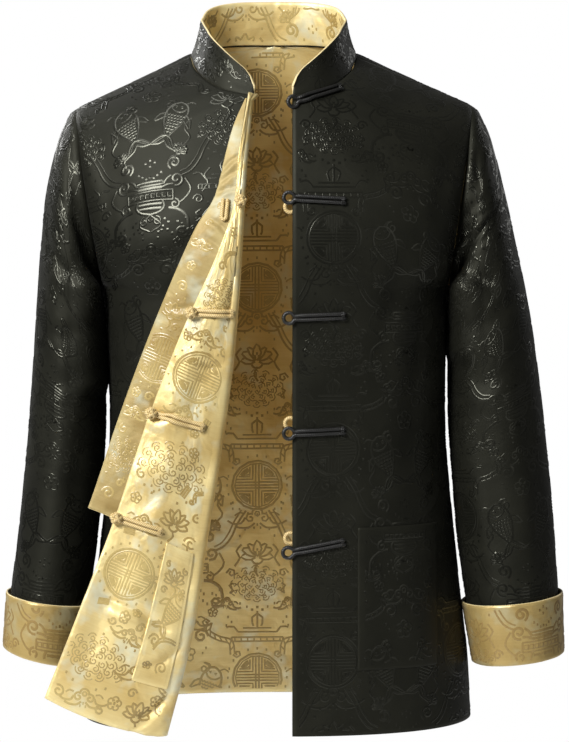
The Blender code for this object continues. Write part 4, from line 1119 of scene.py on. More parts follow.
# Motif, across and up in millimetres, turn and size.
flap_lines = motifs_at(
    (medallion(), 34.6, 382.5, 0, 0.94), (medallion(), 34.6, 157.5, 0, 0.94), (mane, 43, 277, 0, 1.22),
    (blossom(5.0), 58, 305, 0, 1.0), (bars, 66, 262, 70, 0.8), (cloud, 33, 340, 0, 0.62),
    (bars, 62, 338, 78, 0.75), (hook, 12, 330, 0, 1.0), (blossom(5.0), 52, 325, 0, 0.9),
    (lotus(), 62, 226, 0, 0.95), (hook, 84, 240, 40, 1.0), (cloud, 30, 213, 0, 0.7), (swirl, 86, 212, 0, 0.9),
    (blossom(5.5), 14, 236, 0, 1.0), (lattice(), 80, 268, -18, 0.5), (hook, 12, 262, 90, 1.0),
    (carp(), 76, 176, -32, 1.0), (carp(), 100, 146, 150, 1.0), (blossom(6.0), 86, 120, 0, 1.0),
    (blossom(5.0), 47, 113, 0, 1.0), (blossom(4.4), 58, 121, 0, 1.0), (hook, 66, 108, 0, 0.9),
    (hook, 37, 106, 160, 0.9), (swirl, 79, 102, 30, 1.0), (double_bend, 103, 100, 0, 0.95),
    (bars, 20, 117, 12, 0.7), (bars, 20, 198, 8, 0.7), (mane, 33, 58, 0, 1.12), (cloud, 84, 62, 8, 0.8),
    (lattice(), 112, 62, 30, 0.7), (lotus(), 98, 18, 0, 0.9), (blossom(7.0), 70, 24, 0, 1.0),
    (cloud, 38, 17, 12, 0.75), (swirl, 10, 14, 0, 0.9), (hook, 84, 40, 0, 1.0),
    (blossom(6.0), 112, 38, 0, 1.0), (hook, 58, 12, 60, 1.0), (cloud, 58, 96, -10, 0.6),
    (swirl, 122, 30, 90, 0.9), (cloud, 24, 424, 0, 0.6), (hook, 50, 418, 60, 0.9),
    (blossom(4.6), 8, 418, 0, 1.0), (mane, 25, 472, 80, 0.78), (hook, 42, 444, 120, 0.8),
    (blossom(4.6), 7, 446, 0, 0.9), (hook, 10, 503, 0, 0.9), (double_bend, 16, 516, 65, 0.7),
    (blossom(4.4), 9, 540, 0, 1.0), (hook, 8, 565, 0, 0.8),
    (dots((0, 0), (4, 5), (9, 1), (-5, 6), (13, 7)), 60, 196, 0, 1.0), (three_dots, 50, 350, 0, 1.0),
    (three_dots + dots((10, 0)), 60, 84, 0, 1.0), (three_dots, 30, 250, 0, 1.0),
)
flap_figure = lay_figure("flap_figure", [(flap_patch, flap_lines)], gold_figure, "gold_brocade")

# Button stand: a narrow strip of gold brocade, folded lengthwise and sewn behind the free edge of the
# right front. It stands out past that edge from below the collar to above the hem, and carries a cord.
STAND_COLUMNS = 21
STAND_ROWS = 240
STAND_THICKNESS = 0.0020
# How far the strip's seam lies in from the free edge, as a share of the folded-back part.
STAND_SEAM = 0.82
STAND_SECTIONS = (
    # Share of the way up, how far it reaches past the free edge, and how far back.
    (0.29, 0.031, 0.004), (0.45, 0.031, 0.008), (0.60, 0.032, 0.010),
    (0.75, 0.033, 0.010), (0.90, 0.0145, 0.004), (0.955, 0.008, 0.002), (0.995, 0.0012, 0.0006),
)
rows, lengths = [], []
for share in np.linspace(STAND_SECTIONS[0][0], 0.993, STAND_ROWS):
    past_reach, back_reach = section(STAND_SECTIONS, share)
    slope = flap_row(min(share + 0.004, 1.0), [1.0])[0] - flap_row(max(share - 0.004, 0.0), [1.0])[0]
    seam, near_edge, edge = flap_row(share, [STAND_SEAM, 0.996, 1.0])
    outward = unit(np.cross(edge - near_edge, slope))
    outward = outward if outward[1] < 0 else -outward
    past = unit(np.array((-slope[2], 0.0, slope[0]))) * past_reach
    back_way = np.array((0.0, back_reach, 0.0))
    knots = np.array((seam, edge, edge + past / 2 + back_way * 0.35, edge + past + back_way))
    spine = distance_along(knots)
    fine = np.array([smooth_through(spine, knots, t) for t in np.linspace(0.0, spine[-1], 40)])
    row, length = even_row(fine - outward * 0.0009, STAND_COLUMNS)
    rows.append(row[::-1])
    lengths.append(length)
rows = np.array(rows)
button_stand = new_grid(rows, distance_along(rows[:, 0]), np.zeros(len(rows)), lengths)
crease_all(button_stand, (
    (((-0.0585, -0.130), (-0.0440, -0.116), (-0.0290, -0.106)), 0.0024, 0.0010),
    (((-0.0600, -0.142), (-0.0460, -0.131), (-0.0320, -0.124)), 0.0020, 0.0008),
    (((-0.0630, -0.152), (-0.0480, -0.146), (-0.0350, -0.143)), 0.0024, 0.0010),
    (((-0.0660, -0.163), (-0.0520, -0.161), (-0.0400, -0.162)), 0.0020, 0.0007),
    (((-0.0700, -0.176), (-0.0560, -0.184), (-0.0460, -0.198)), 0.0030, 0.0010),
    (((-0.0740, -0.195), (-0.0620, -0.203), (-0.0520, -0.212)), 0.0030, 0.0008),
    (((-0.0940, -0.262), (-0.0840, -0.276), (-0.0760, -0.290)), 0.0040, 0.0010),
    (((-0.1075, -0.272), (-0.0980, -0.273), (-0.0885, -0.272)), 0.0034, 0.0012),
    (((-0.1350, -0.368), (-0.1240, -0.378), (-0.1130, -0.384)), 0.0036, 0.0012),
    (((-0.1800, -0.486), (-0.1660, -0.492), (-0.1500, -0.496)), 0.0040, 0.0012),
    (((-0.1600, -0.420), (-0.1480, -0.440), (-0.1380, -0.462)), 0.0090, 0.0012),
), deepen=1.7)
settle(button_stand)
# The strip's satin is a darker copy of the gold satin: painted shade. Its pale zones are a painted sheen.
stand_shaded_satin = brocade("stand_shaded_satin", (0.27, 0.175, 0.052, 1.0), (0.41, 0.325, 0.140, 1.0), 0.04, 0.50,
                      specular=0.25, painted_sheen=(0.44, 0.44, 0.32, 1.0), metal=0.12, ripples=0.0024)
button_stand_cloth = shell("button_stand_cloth", button_stand, [stand_shaded_satin, stand_shaded_satin, gold_edge],
                           thickness=STAND_THICKNESS)
finish_piece(button_stand_cloth, "gold_brocade", "button_stand")
stand_across = np.linspace(0.0, 1.0, STAND_COLUMNS) * button_stand["length"][:, None]
stand_patch = patch_of(button_stand["points"], button_stand["outward"], stand_across,
                       button_stand["up"][:, None])
stand_lines = motifs_at(
    (medallion(), 20, 176, 0, 0.94), (mane, 16, 62, 0, 0.85), (cloud, 15, 112, 0, 0.5),
    (hook, 24, 134, 0, 1.0), (blossom(4.6), 9, 134, 0, 1.0), (hook, 9, 92, 90, 1.0),
    (lotus(), 15, 226, 0, 0.75), (hook, 24, 214, 0, 0.8), (swirl, 14, 258, 0, 0.8),
    (blossom(4.6), 14, 282, 0, 1.0), (cloud, 14, 306, 0, 0.4), (hook, 10, 330, 0, 0.8),
    (blossom(4.0), 12, 352, 0, 1.0), (swirl, 15, 22, 0, 0.9), (hook, 24, 36, 0, 0.8),
    (dots((0, 0), (6, 5), (-5, 5), (8, -4)), 14, 150, 0, 1.0),
    (dots((0, 0), (6, 5), (-5, 5)), 16, 242, 0, 1.0),
)
stand_figure = lay_figure("button_stand_figure", [(stand_patch, stand_lines)], gold_figure, "gold_brocade")

# Back: one panel of black brocade lined with gold, from side seam to side seam, with a plain hem. Its gold
# inside shows through the open front.
HALF_BACK = 51
# The column along which the cloth's height is measured.
BACK_MIDDLE = 30
rows, left_lengths, right_lengths = [], [], []
for up in FRONT_UPS:
    left = half_row(1, "back", FINE, up)
    right = half_row(-1, "back", FINE, up)[::-1]
    if up <= NECK_UP:
        left[-1] = right[0] = (left[-1] + right[0]) / 2.0
    left, left_length = even_row(left, HALF_BACK)
    right, right_length = even_row(right, HALF_BACK)
    rows.append(np.concatenate((left, right)))
    left_lengths.append(left_length)
    right_lengths.append(right_length)
rows, left_lengths, right_lengths = np.array(rows), np.array(left_lengths), np.array(right_lengths)
back = new_grid(rows, HEM_Z + distance_along(rows[:, BACK_MIDDLE]), -left_lengths,
                left_lengths + right_lengths, cells=lambda i, j: j != HALF_BACK - 1,
                weld=(HALF_BACK - 1, HALF_BACK, NECK_ROW))
crease_all(back, (
    (((0.180, -0.110), (0.158, -0.180), (0.148, -0.280)), 0.011, 0.0018),
    (((-0.182, -0.105), (-0.156, -0.170), (-0.140, -0.260)), 0.011, 0.0020),
    (((0.090, -0.090), (0.040, -0.120), (-0.030, -0.128)), 0.013, 0.0012),
    (((-0.110, -0.140), (-0.060, -0.165), (0.010, -0.170)), 0.012, 0.0010),
    (((0.130, -0.300), (0.118, -0.420), (0.128, -0.560)), 0.016, 0.0018),
    (((0.060, -0.360), (0.054, -0.500), (0.066, -0.700)), 0.018, 0.0018),
    (((-0.030, -0.330), (-0.038, -0.480), (-0.026, -0.660)), 0.019, 0.0016),
    (((-0.120, -0.320), (-0.110, -0.450), (-0.124, -0.600)), 0.016, 0.0018),
    (((-0.165, -0.420), (-0.172, -0.560), (-0.182, -0.715)), 0.014, 0.0016),
    (((0.150, -0.560), (0.160, -0.640), (0.158, -0.722)), 0.013, 0.0014),
    (((0.180, -0.268), (0.120, -0.290), (0.070, -0.282)), 0.008, 0.0012),
    (((-0.182, -0.272), (-0.130, -0.296), (-0.085, -0.292)), 0.008, 0.0012),
), facing=1)
half_steps = np.linspace(0, 1, HALF_BACK)
from_left = np.concatenate((half_steps * left_lengths[:, None],
                            left_lengths[:, None] + half_steps * right_lengths[:, None]), axis=1)
seam_dip(back, from_left)
seam_dip(back, (left_lengths + right_lengths)[:, None] - from_left)
seam_dip(back, back["up"][-1] - back["up"][:, None])
settle(back)
back_cloth = shell("back_cloth", back, [black_satin, gold_satin, black_satin],
                   tuck=tucked(back, column=0) + tucked(back, column=-1))
finish_piece(back_cloth, "black_brocade", "back", "back_lining")
# Up to the neck the back is charted in one piece, whose middle line is two of the columns, and above it in
# two. Its chart runs from the wearer's left to the right.
left_chart = body_chart(back["points"][:, :HALF_BACK], HALF_BACK - 1, -rows[:, HALF_BACK - 1, 0])
right_chart = body_chart(back["points"][:, HALF_BACK:], 0, -rows[:, HALF_BACK, 0])
fields = [back["points"], back["outward"]]
fields += [np.concatenate(halves, axis=1) for halves in zip(left_chart, right_chart)]
back_patches = [patch_of(*(np.delete(field[:NECK_ROW + 1], HALF_BACK, axis=1) for field in fields)),
                patch_of(*(field[NECK_ROW:, :HALF_BACK] for field in fields)),
                patch_of(*(field[NECK_ROW:, HALF_BACK:] for field in fields))]
back_figure = lay_figure("back_figure",
                         [(patch, figure_lines(patch, (0.0, -0.2100))) for patch in back_patches],
                         black_figure, "black_brocade")
back_inside = {**back_patches[0], "inner": CLOTH_THICKNESS, "allowed": lambda u, v: np.abs(u) < 0.150}
back_lining_figure = lay_figure("back_lining_figure",
                                [(back_inside, figure_lines(back_inside, (0.020, -0.260)))],
                                gold_figure, "gold_brocade", every=2)

# Sleeves: black brocade tubes lined with gold, set into the armholes with a slightly raised head and
# sewn along the inner side. Worn arms bend them, so the cloth folds at the armpit and the elbow.
SLEEVE_ROWS = 180
SLEEVE_ROUND = 116
SLEEVE_END = len(LEFT_SLEEVE) - 1
SLEEVE_TURNS = np.linspace(math.pi, -math.pi, SLEEVE_ROUND, endpoint=False)
FINE_TURNS = np.linspace(math.pi, -math.pi, 361)


def tube_grid(rings, side, up=None):
    """The closed grid of a sleeve or a cuff from its rings, each laid in equal steps."""
    rows, lengths = zip(*[even_row(ring, SLEEVE_ROUND + 1) for ring in rings])
    rows, lengths = np.array(rows)[:, :-1], np.array(lengths)
    up = distance_along(rows[:, SLEEVE_ROUND // 2]) if up is None else up
    return new_grid(rows, up, -lengths / 2.0, lengths, closed=True, turned=side > 0)


def tube_patch(grid, side):
    """A sleeve's cloth laid open along its inner seam, with the chart running up it from the hem."""
    points, outward = (np.concatenate((grid[field], grid[field][:, :1]), axis=1)[::-1]
                       for field in ("points", "outward"))
    across = np.linspace(-0.5, 0.5, points.shape[1]) * grid["length"][::-1, None]
    if side < 0:
        points, outward = points[:, ::-1], outward[:, ::-1]
    return patch_of(points, outward, across, (grid["up"][-1] - grid["up"][::-1])[:, None])


# Each fold is its path in the front view, its width and its depth.
LEFT_SLEEVE_FOLDS = (
    (((0.2460, -0.1674), (0.2240, -0.1920), (0.2020, -0.2220)), 0.0038, 0.0036),
    (((0.2474, -0.1740), (0.2320, -0.1950), (0.2160, -0.2130)), 0.0026, 0.0016),
    (((0.2444, -0.1620), (0.2210, -0.1770), (0.2060, -0.1950)), 0.0028, 0.0018),
    (((0.2360, -0.1540), (0.2180, -0.1650), (0.2060, -0.1800)), 0.0050, 0.0012),
    (((0.1990, -0.2334), (0.2323, -0.2470), (0.2400, -0.2700)), 0.0085, 0.0030),
    (((0.2144, -0.0600), (0.2085, -0.1000), (0.2059, -0.1380)), 0.0034, 0.0018),
    (((0.2200, -0.1020), (0.2190, -0.1220), (0.2225, -0.1440)), 0.0032, 0.0014),
    (((0.2680, -0.2500), (0.2420, -0.2860), (0.2060, -0.3000)), 0.0100, 0.0018),
    (((0.2020, -0.3420), (0.2280, -0.3560), (0.2620, -0.3400)), 0.0110, 0.0014),
    (((0.2480, -0.1100), (0.2560, -0.1800), (0.2720, -0.2500)), 0.0110, 0.0014),
    (((0.2620, -0.3000), (0.2720, -0.3800), (0.2860, -0.4600)), 0.0120, 0.0020),
    (((0.2260, -0.4000), (0.2400, -0.4800), (0.2520, -0.5600)), 0.0120, 0.0018),
    (((0.2900, -0.4300), (0.2900, -0.5000), (0.2980, -0.5900)), 0.0100, 0.0016),
    (((0.2120, -0.4800), (0.2220, -0.5400), (0.2280, -0.5900)), 0.0080, 0.0014),
)
RIGHT_SLEEVE_FOLDS = (
    (((-0.2340, -0.1500), (-0.2120, -0.1860), (-0.1980, -0.2140)), 0.0060, 0.0016),
    (((-0.2520, -0.2060), (-0.2260, -0.2340), (-0.1990, -0.2500)), 0.0075, 0.0022),
    (((-0.1960, -0.2900), (-0.2240, -0.3060), (-0.2540, -0.2960)), 0.0090, 0.0016),
    (((-0.1980, -0.3420), (-0.2220, -0.3560), (-0.2480, -0.3560)), 0.0110, 0.0016),
    (((-0.2220, -0.1000), (-0.2140, -0.1500), (-0.2040, -0.1900)), 0.0075, 0.0014),
    (((-0.2400, -0.1100), (-0.2460, -0.1800), (-0.2500, -0.2600)), 0.0100, 0.0018),
    (((-0.2380, -0.3000), (-0.2460, -0.3800), (-0.2500, -0.4600)), 0.0110, 0.0020),
    (((-0.2080, -0.3900), (-0.2160, -0.4700), (-0.2260, -0.5600)), 0.0110, 0.0018),
    (((-0.2620, -0.4200), (-0.2640, -0.5000), (-0.2720, -0.5900)), 0.0090, 0.0016),
)
# The bunched cloth below an armpit: where it starts, how far it swells, and how much more near its top.
BUNCH_TOP = -0.222
BUNCH_SWELL = 0.0066
BUNCH_TOP_SWELL = 0.0070
# How far the sleeve's head stands up beside its seam.
HEAD_RISE = 0.0016


def bunch_below_armpit(grid, side, bottom):
    """Swells the front of a sleeve's inner side, where the cloth bunches and closes on the body. It ends at
    the height given as its bottom, where a slit opens between the two."""
    outward, z = grid["outward"], grid["points"][..., 2]
    turn = np.degrees(np.arctan2(-outward[..., 1], -side * outward[..., 0]))
    around = np.clip(1.0 - ((turn - 30.0) / 52.0) ** 2, 0.0, 1.0) ** 1.5
    below = BUNCH_TOP - z
    start = np.clip(below / 0.034, 0.0, 1.0)
    down = start ** 2 * (3.0 - 2.0 * start) * np.clip((z - bottom) / 0.014, 0.0, 1.0)
    from_seam = np.linalg.norm(grid["points"] - grid["points"][:1], axis=2)
    down *= np.clip((from_seam - 0.003) / 0.022, 0.0, 1.0)
    swell = BUNCH_SWELL + BUNCH_TOP_SWELL * np.clip(1.0 - (below - 0.030) / 0.045, 0.0, 1.0)
    grid["rise"] += around * down * swell


# Side, rows of measures, folds, where the slit beside the body opens, width all round and area.
for side, table, folds, slit, girth, area in ((1, LEFT_SLEEVE, LEFT_SLEEVE_FOLDS, -0.338, 0.400, 0.200),
                                              (-1, RIGHT_SLEEVE, RIGHT_SLEEVE_FOLDS, -0.374, 0.385, 0.188)):
    name = "sleeve_left" if side > 0 else "sleeve_right"
    coarse = np.linspace(0, SLEEVE_END, 201)
    outer_line = distance_along(np.array([sleeve_row(table, side, along, [0.0])[0] for along in coarse]))
    up = np.linspace(0.0, outer_line[-1], SLEEVE_ROWS)
    alongs = np.interp(up, outer_line, coarse)
    grid = tube_grid([sleeve_row(table, side, along, FINE_TURNS) for along in alongs], side, up)
    for path, width, depth in folds:
        crease(grid, path, width, depth)
        # The back of the sleeve has folds of its own, a little lower, longer and softer.
        behind = [(x + 0.004 * side, z - 0.018 - 0.004 * k) for k, (x, z) in enumerate(path)]
        crease(grid, behind, width * 1.2, depth * 0.85, facing=1)
    # The sleeve's head is eased in, so it stands up beside its seam, most of all on top.
    down = grid["up"][:, None]
    head = np.clip(0.3 + 0.7 * np.cos(SLEEVE_TURNS), 0.0, 1.0)
    grid["rise"] += HEAD_RISE * head * np.exp(-((down - 0.009) / 0.007) ** 2)
    seam_dip(grid, down, depth=0.0012)
    bunch_below_armpit(grid, side, slit)
    # Under the cuff the cloth is smooth.
    fade = np.clip((down[-1] - down - 0.062) / 0.03, 0.0, 1.0)
    grid["rise"] *= np.where(down > 0.1, fade, 1.0)
    settle(grid)
    cloth = shell(name + "_cloth", grid, [black_satin, gold_satin, black_satin],
                  tuck=tucked(grid, row=0, depth=0.0034))
    finish_piece(cloth, "black_brocade", name, name + "_lining")
    upright = tube_patch(grid, side)
    figure = lay_figure(name + "_figure", [(upright, figure_lines(upright, (0.012 * side, 0.160)))],
                        black_figure, "black_brocade")

# Cuffs: the gold lining of each sleeve, turned back over its end and pressed, with a bright edge. Each is
# a folded band of its own here, and stands a little off the black cloth under it.
CUFF_ROWS = 26
CUFF_THICKNESS = 0.0020
# Where the cuff starts, in rows of the sleeve's table.
CUFF_STARTS = 9.02
# How far the cuff stands off the sleeve at its top and at its end, and how far it reaches past that end.
CUFF_LIFT = 0.0030
CUFF_END_LIFT = 0.0006
CUFF_PAST = 0.0025
# Upright folds: place round the cuff, lean and depth.
CUFF_FOLDS = ((0.6, 0.10, 0.0006), (1.25, -0.06, 0.0008), (2.3, 0.05, 0.0007), (-0.9, 0.08, 0.0008),
              (-1.9, -0.07, 0.0007))
# Darker copies of the gold satin and its figure silk: painted shade. The satin's pale zones are a painted
# sheen.
cuff_shaded_satin = brocade("cuff_shaded_satin", (0.33, 0.215, 0.062, 1.0), (0.50, 0.365, 0.135, 1.0), 0.08, 0.36,
                     painted_sheen=(0.48, 0.42, 0.24, 1.0), metal=0.35, ripples=0.0020)
shaded_cuff_figure = float_silk("shaded_cuff_figure_silk", (0.20, 0.125, 0.035, 1.0), (0.36, 0.25, 0.09, 1.0), 0.30)
for side, table in ((1, LEFT_SLEEVE), (-1, RIGHT_SLEEVE)):
    name = "cuff_left" if side > 0 else "cuff_right"
    down_way = unit(sleeve_row(table, side, SLEEVE_END, FINE_TURNS)
                    - sleeve_row(table, side, SLEEVE_END - 1.0, FINE_TURNS))
    rings = []
    for share in np.linspace(0.0, 1.0, CUFF_ROWS):
        along = CUFF_STARTS + (SLEEVE_END - CUFF_STARTS) * share
        here = sleeve_row(table, side, along, FINE_TURNS)
        out_way = unit(here - sleeve_row(table, side, along, [0.0, math.pi]).mean(axis=0))
        lift = CUFF_LIFT + (CUFF_END_LIFT - CUFF_LIFT) * share + CUFF_THICKNESS
        rings.append(here + out_way * lift + down_way * CUFF_PAST * share)
    grid = tube_grid(rings, side)
    down = grid["up"][:, None]
    for place, lean, depth in CUFF_FOLDS:
        wave = np.angle(np.exp(1j * (SLEEVE_TURNS - place - lean * down / 0.06)))
        grid["rise"] += depth * np.exp(-(wave / 0.22) ** 2)
    grid["rise"] += 0.0006 * np.exp(-((down - 0.003) / 0.002) ** 2)
    settle(grid)
    cloth = shell(name + "_cloth", grid, [cuff_shaded_satin, cuff_shaded_satin, gold_edge], thickness=CUFF_THICKNESS,
                  bead=0.0008)
    finish_piece(cloth, "gold_brocade", name)
    upright = tube_patch(grid, side)
    figure = lay_figure(name + "_figure", [(upright, figure_lines(upright, (0.020, -0.112)))], shaded_cuff_figure,
                        "gold_brocade")

# Stand collar: a band of black brocade faced with gold, a little stiffened, with rounded front corners
# and a gold edge rolled over its rim.
RIM_SIDE = (0.0805, 0.0, 0.0380)
FRONT_RIM = ((0.0235, -0.080, -0.0240), (0.0505, -0.067, -0.0010), (0.0705, -0.041, 0.0200), RIM_SIDE)
BACK_RIM = ((0.0, 0.062, 0.0605), (0.0430, 0.055, 0.0590), (0.0715, 0.034, 0.0520), RIM_SIDE)
COLLAR_ROUND = 151
COLLAR_ROWS = 17
COLLAR_HEIGHT = 0.045
COLLAR_CORNER = 0.013
COLLAR_HOLLOW = 0.0015
FINE_COLLAR = 1201
# Upright dents where the stiffened band bends: column and depth.
COLLAR_DENTS = ((30, 0.0008), (47, 0.0006), (98, 0.0007), (122, 0.0009))
feet, tops = [], []
for side in (1, -1):
    half = []
    front_steps = np.linspace(0, 1, 40)
    for face, line, steps in (("front", FRONT_RIM, front_steps), ("back", BACK_RIM, front_steps[::-1][1:])):
        for t in steps:
            foot = half_row(side, face, np.array([1.0]), NECK_UP + t * (2.0 - NECK_UP))[0]
            if face == "back" and t == 0.0:
                foot = np.array((0.0, *BACK_NECKLINE[0][1:]))
            half.append((foot, even_through(line, t) * np.array((side, 1.0, 1.0))))
    ordered = half if side > 0 else half[::-1][1:]
    feet += [foot for foot, _ in ordered]
    tops += [top for _, top in ordered]
pick = np.linspace(0, FINE_COLLAR - 1, COLLAR_ROUND).astype(int)
feet, collar_length = even_row(np.array(feet), FINE_COLLAR)
tops, rim_length = even_row(np.array(tops), FINE_COLLAR)
feet, tops = feet[pick], tops[pick]
# The rim is cut down to a quarter circle at both ends.
columns = np.arange(COLLAR_ROUND)
from_end = np.minimum(columns, columns[::-1]) * rim_length / (COLLAR_ROUND - 1)
short_of = np.maximum(COLLAR_CORNER - from_end, 0.0)
cut_down = COLLAR_CORNER - np.sqrt(np.maximum(COLLAR_CORNER ** 2 - short_of ** 2, 0.0))
heights = np.linalg.norm(tops - feet, axis=1)
tops = feet + (tops - feet) * (1.0 - cut_down / heights)[:, None]
rows = []
for share in np.linspace(0.0, 1.0, COLLAR_ROWS):
    row = feet + (tops - feet) * share
    inward = unit(-row * (1.0, 1.0, 0.0))
    rows.append(row + inward * COLLAR_HOLLOW * 4.0 * share * (1.0 - share))
collar_lengths = np.full(COLLAR_ROWS, collar_length)
collar = new_grid(rows, np.linspace(0.0, COLLAR_HEIGHT, COLLAR_ROWS), -collar_lengths / 2, collar_lengths)
collar["rise"] -= 0.0007 * np.exp(-(collar["up"][:, None] / 0.003) ** 2)
for column, depth in COLLAR_DENTS:
    collar["rise"] -= depth * np.exp(-((columns - column) / 3.5) ** 2)
settle(collar)
collar_cloth = shell("collar_cloth", collar, [black_satin, gold_satin, gold_edge], bead=0.0009,
                     tuck=tucked(collar, row=0, depth=0.0010))
finish_piece(collar_cloth, "black_brocade", "collar", "collar_lining")
collar_across = np.linspace(-0.5, 0.5, COLLAR_ROUND) * collar_lengths[:, None]
collar_patch = patch_of(collar["points"], collar["outward"], collar_across, collar["up"][:, None])
collar_inside = {**collar_patch, "inner": CLOTH_THICKNESS}
collar_figure = lay_figure("collar_figure", [(collar_patch, figure_lines(collar_patch, (0.10, -0.060)))],
                           black_figure, "black_brocade")
collar_lining_figure = lay_figure("collar_lining_figure",
                                  [(collar_inside, figure_lines(collar_inside, (0.035, -0.150)))],
                                  gold_figure, "gold_brocade")

# Patch pockets: a black one sewn on the left front, and the gold side's own one, which shows on the
# folded-back part. Each is a single layer, stitched down at its sides and bottom.
POCKET_THICKNESS = 0.0012
POCKET_SIDES = (0.0905, 0.1770)
POCKET_BOTTOM = -0.662
POCKET_TOP = -0.509


def seat_on(cloth_tree, x, z, lift, inside=False):
    """The place that far off a cloth at this point of the front view, on its outer or its inner side."""
    look = Vector((0.0, -1.0 if inside else 1.0, 0.0))
    spot, outward, _, _ = cloth_tree.ray_cast(Vector((x, 0.0 if inside else -1.0, z)), look)
    if outward.dot(look) > 0:
        outward = -outward
    return np.array(spot + outward * lift)


def tree_of(thing):
    corners = [corner.co for corner in thing.data.vertices]
    return BVHTree.FromPolygons(corners, [tuple(face.vertices) for face in thing.data.polygons])


front_left_tree = tree_of(front_left_cloth)
front_right_tree = tree_of(front_right_cloth)
button_stand_tree = tree_of(button_stand_cloth)


def add_pocket(name, rows, material, figure_material, slot, chart_origin=None, placed=()):
    """A pocket's cloth from its rows of points, with its figure from the repeat or placed one by one."""
    rows = np.array(rows)
    wide, high = length_of(rows[0]), length_of(rows[:, 0])
    up = np.linspace(0.0, high, len(rows))
    grid = new_grid(rows, up, np.zeros(len(rows)), np.full(len(rows), wide))
    across, up = np.meshgrid(np.linspace(0.0, wide, rows.shape[1]), up)
    sewn = np.minimum.reduce((across, wide - across, up))
    # Sewn edges are drawn down beside their stitches; the open top edge stands a little proud.
    grid["rise"] -= 0.0004 * np.exp(-((sewn - 0.0030) / 0.0012) ** 2) + 0.0004 * np.exp(-sewn / 0.0015)
    grid["rise"] += 0.0008 * np.exp(-((high - up) / 0.012) ** 2) * np.sin(np.pi * across / wide)
    grid["rise"] -= 0.0005 * np.exp(-((high - up - 0.016) / 0.0016) ** 2) * (sewn > 0.003)
    settle(grid)
    cloth = shell(name + "_cloth", grid, [material, material, material], thickness=POCKET_THICKNESS)
    finish_piece(cloth, slot, name)
    patch = patch_of(grid["points"], grid["outward"], across, up, margin=2.2)
    lines = figure_lines(patch, chart_origin) if chart_origin else motifs_at(*placed)
    figure = lay_figure(name + "_figure", [(patch, lines)], figure_material, slot)


rows = [[seat_on(front_left_tree, x, z, 0.0015) for x in np.linspace(*POCKET_SIDES, 34)]
        for z in np.linspace(POCKET_BOTTOM, POCKET_TOP, 60)]
# The black pocket's figure nearly matches that of the front under it, one repeat further down and 2 mm off.
pocket_chart = (LEFT_CHART[0] - POCKET_SIDES[0], LEFT_CHART[1] - REPEAT[1] - POCKET_BOTTOM + 0.002)
add_pocket("pocket_left", rows, black_satin, black_figure, "black_brocade",
           chart_origin=pocket_chart)
rows = [[seat_on(front_right_tree, x, z, 0.0018) for x, _, z in flap_row(share, np.linspace(0.36, 0.03, 30))]
        for share in np.linspace(0.075, 0.287, 72)]
pocket_motifs = (
    (carp(), 25, 80, -28, 0.95), (swirl, 12, 48, 0, 0.9), (double_bend, 26, 46, 20, 0.9),
    (lotus(), 20, 118, 10, 0.8), (blossom(5.0), 34, 106, 0, 1.0), (hook, 9, 104, 0, 0.9),
    (hook, 33, 132, 90, 0.8), (swirl, 28, 20, 60, 0.9), (blossom(4.6), 11, 20, 0, 1.0),
    (hook, 9, 134, 40, 0.7), (dots((0, 0), (5, 4), (9, -1)), 12, 70, 0, 1.0),
)
add_pocket("pocket_right", rows, gold_satin, gold_figure, "gold_brocade",
           placed=pocket_motifs)

# Frogs: pairs of rolled cord in black or gold, sewn side by side. Each left one ends in an open eye
# past the front edge, and each right one in a ball knot. Gold eyes on the lining peep out behind.
CORD_RADIUS = 0.0021
CORD_SPACING = 0.0025
CORD_GAP = 0.0003
FROG_LENGTH = 0.055
EYE_RADIUS = 0.0058
BINDING_RADIUS = 0.0005


def cord_silk(name, dark, light, rough, sheen):
    """A narrow strip of cloth rolled round itself: a slanted lap and fine thread along the cord."""
    material, node = new_material(name)
    place = node("ShaderNodeUVMap", {"uv_map": "cloth"}).outputs[0]
    scaled = node("ShaderNodeMapping", Vector=place, Scale=(1.0, 1000.0, 1.0)).outputs[0]
    lap = node("ShaderNodeTexWave", {"bands_direction": "DIAGONAL"}, Vector=scaled, Scale=0.32,
               Distortion=1.0)
    place = node("ShaderNodeTexCoord").outputs["Object"]
    thread = node("ShaderNodeTexNoise", Vector=place, Scale=900.0, Detail=2.0)
    tone = times_plus(node, thread.outputs["Fac"], 0.6, lap.outputs["Fac"])
    share = node("ShaderNodeMapRange", Value=tone, From_Min=0.2, From_Max=1.3).outputs[0]
    roughness = node("ShaderNodeMapRange", Value=thread.outputs["Fac"],
                     To_Min=rough - 0.08, To_Max=rough + 0.08)
    bump = node("ShaderNodeBump", Strength=0.5, Distance=0.0003, Height=tone)
    silk_surface(node, blended(node, share, dark, light), roughness, bump, sheen, 0.4)
    return material


black_cord = cord_silk("black_cord_silk", (0.0022, 0.0022, 0.0018, 1.0), (0.0100, 0.0096, 0.0078, 1.0),
                       0.40, 0.02)
gold_cord = cord_silk("gold_cord_silk", (0.34, 0.205, 0.06, 1.0), (0.76, 0.60, 0.28, 1.0), 0.44, 0.2)


def ring_of(centre, radius, first, second, count):
    """Points of a circle, for the two directions that it lies in."""
    turns = np.linspace(0, 2 * np.pi, count, endpoint=False)[:, None]
    return centre + radius * (np.cos(turns) * first + np.sin(turns) * second)


def skin(rings, sides, closed=False):
    """The faces between each ring of points and the next."""
    faces = []
    for k in range(rings if closed else rings - 1):
        here, after = k * sides, (k + 1) % rings * sides
        for a in range(sides):
            b = (a + 1) % sides
            faces.append((here + a, here + b, after + b, after + a))
    return faces


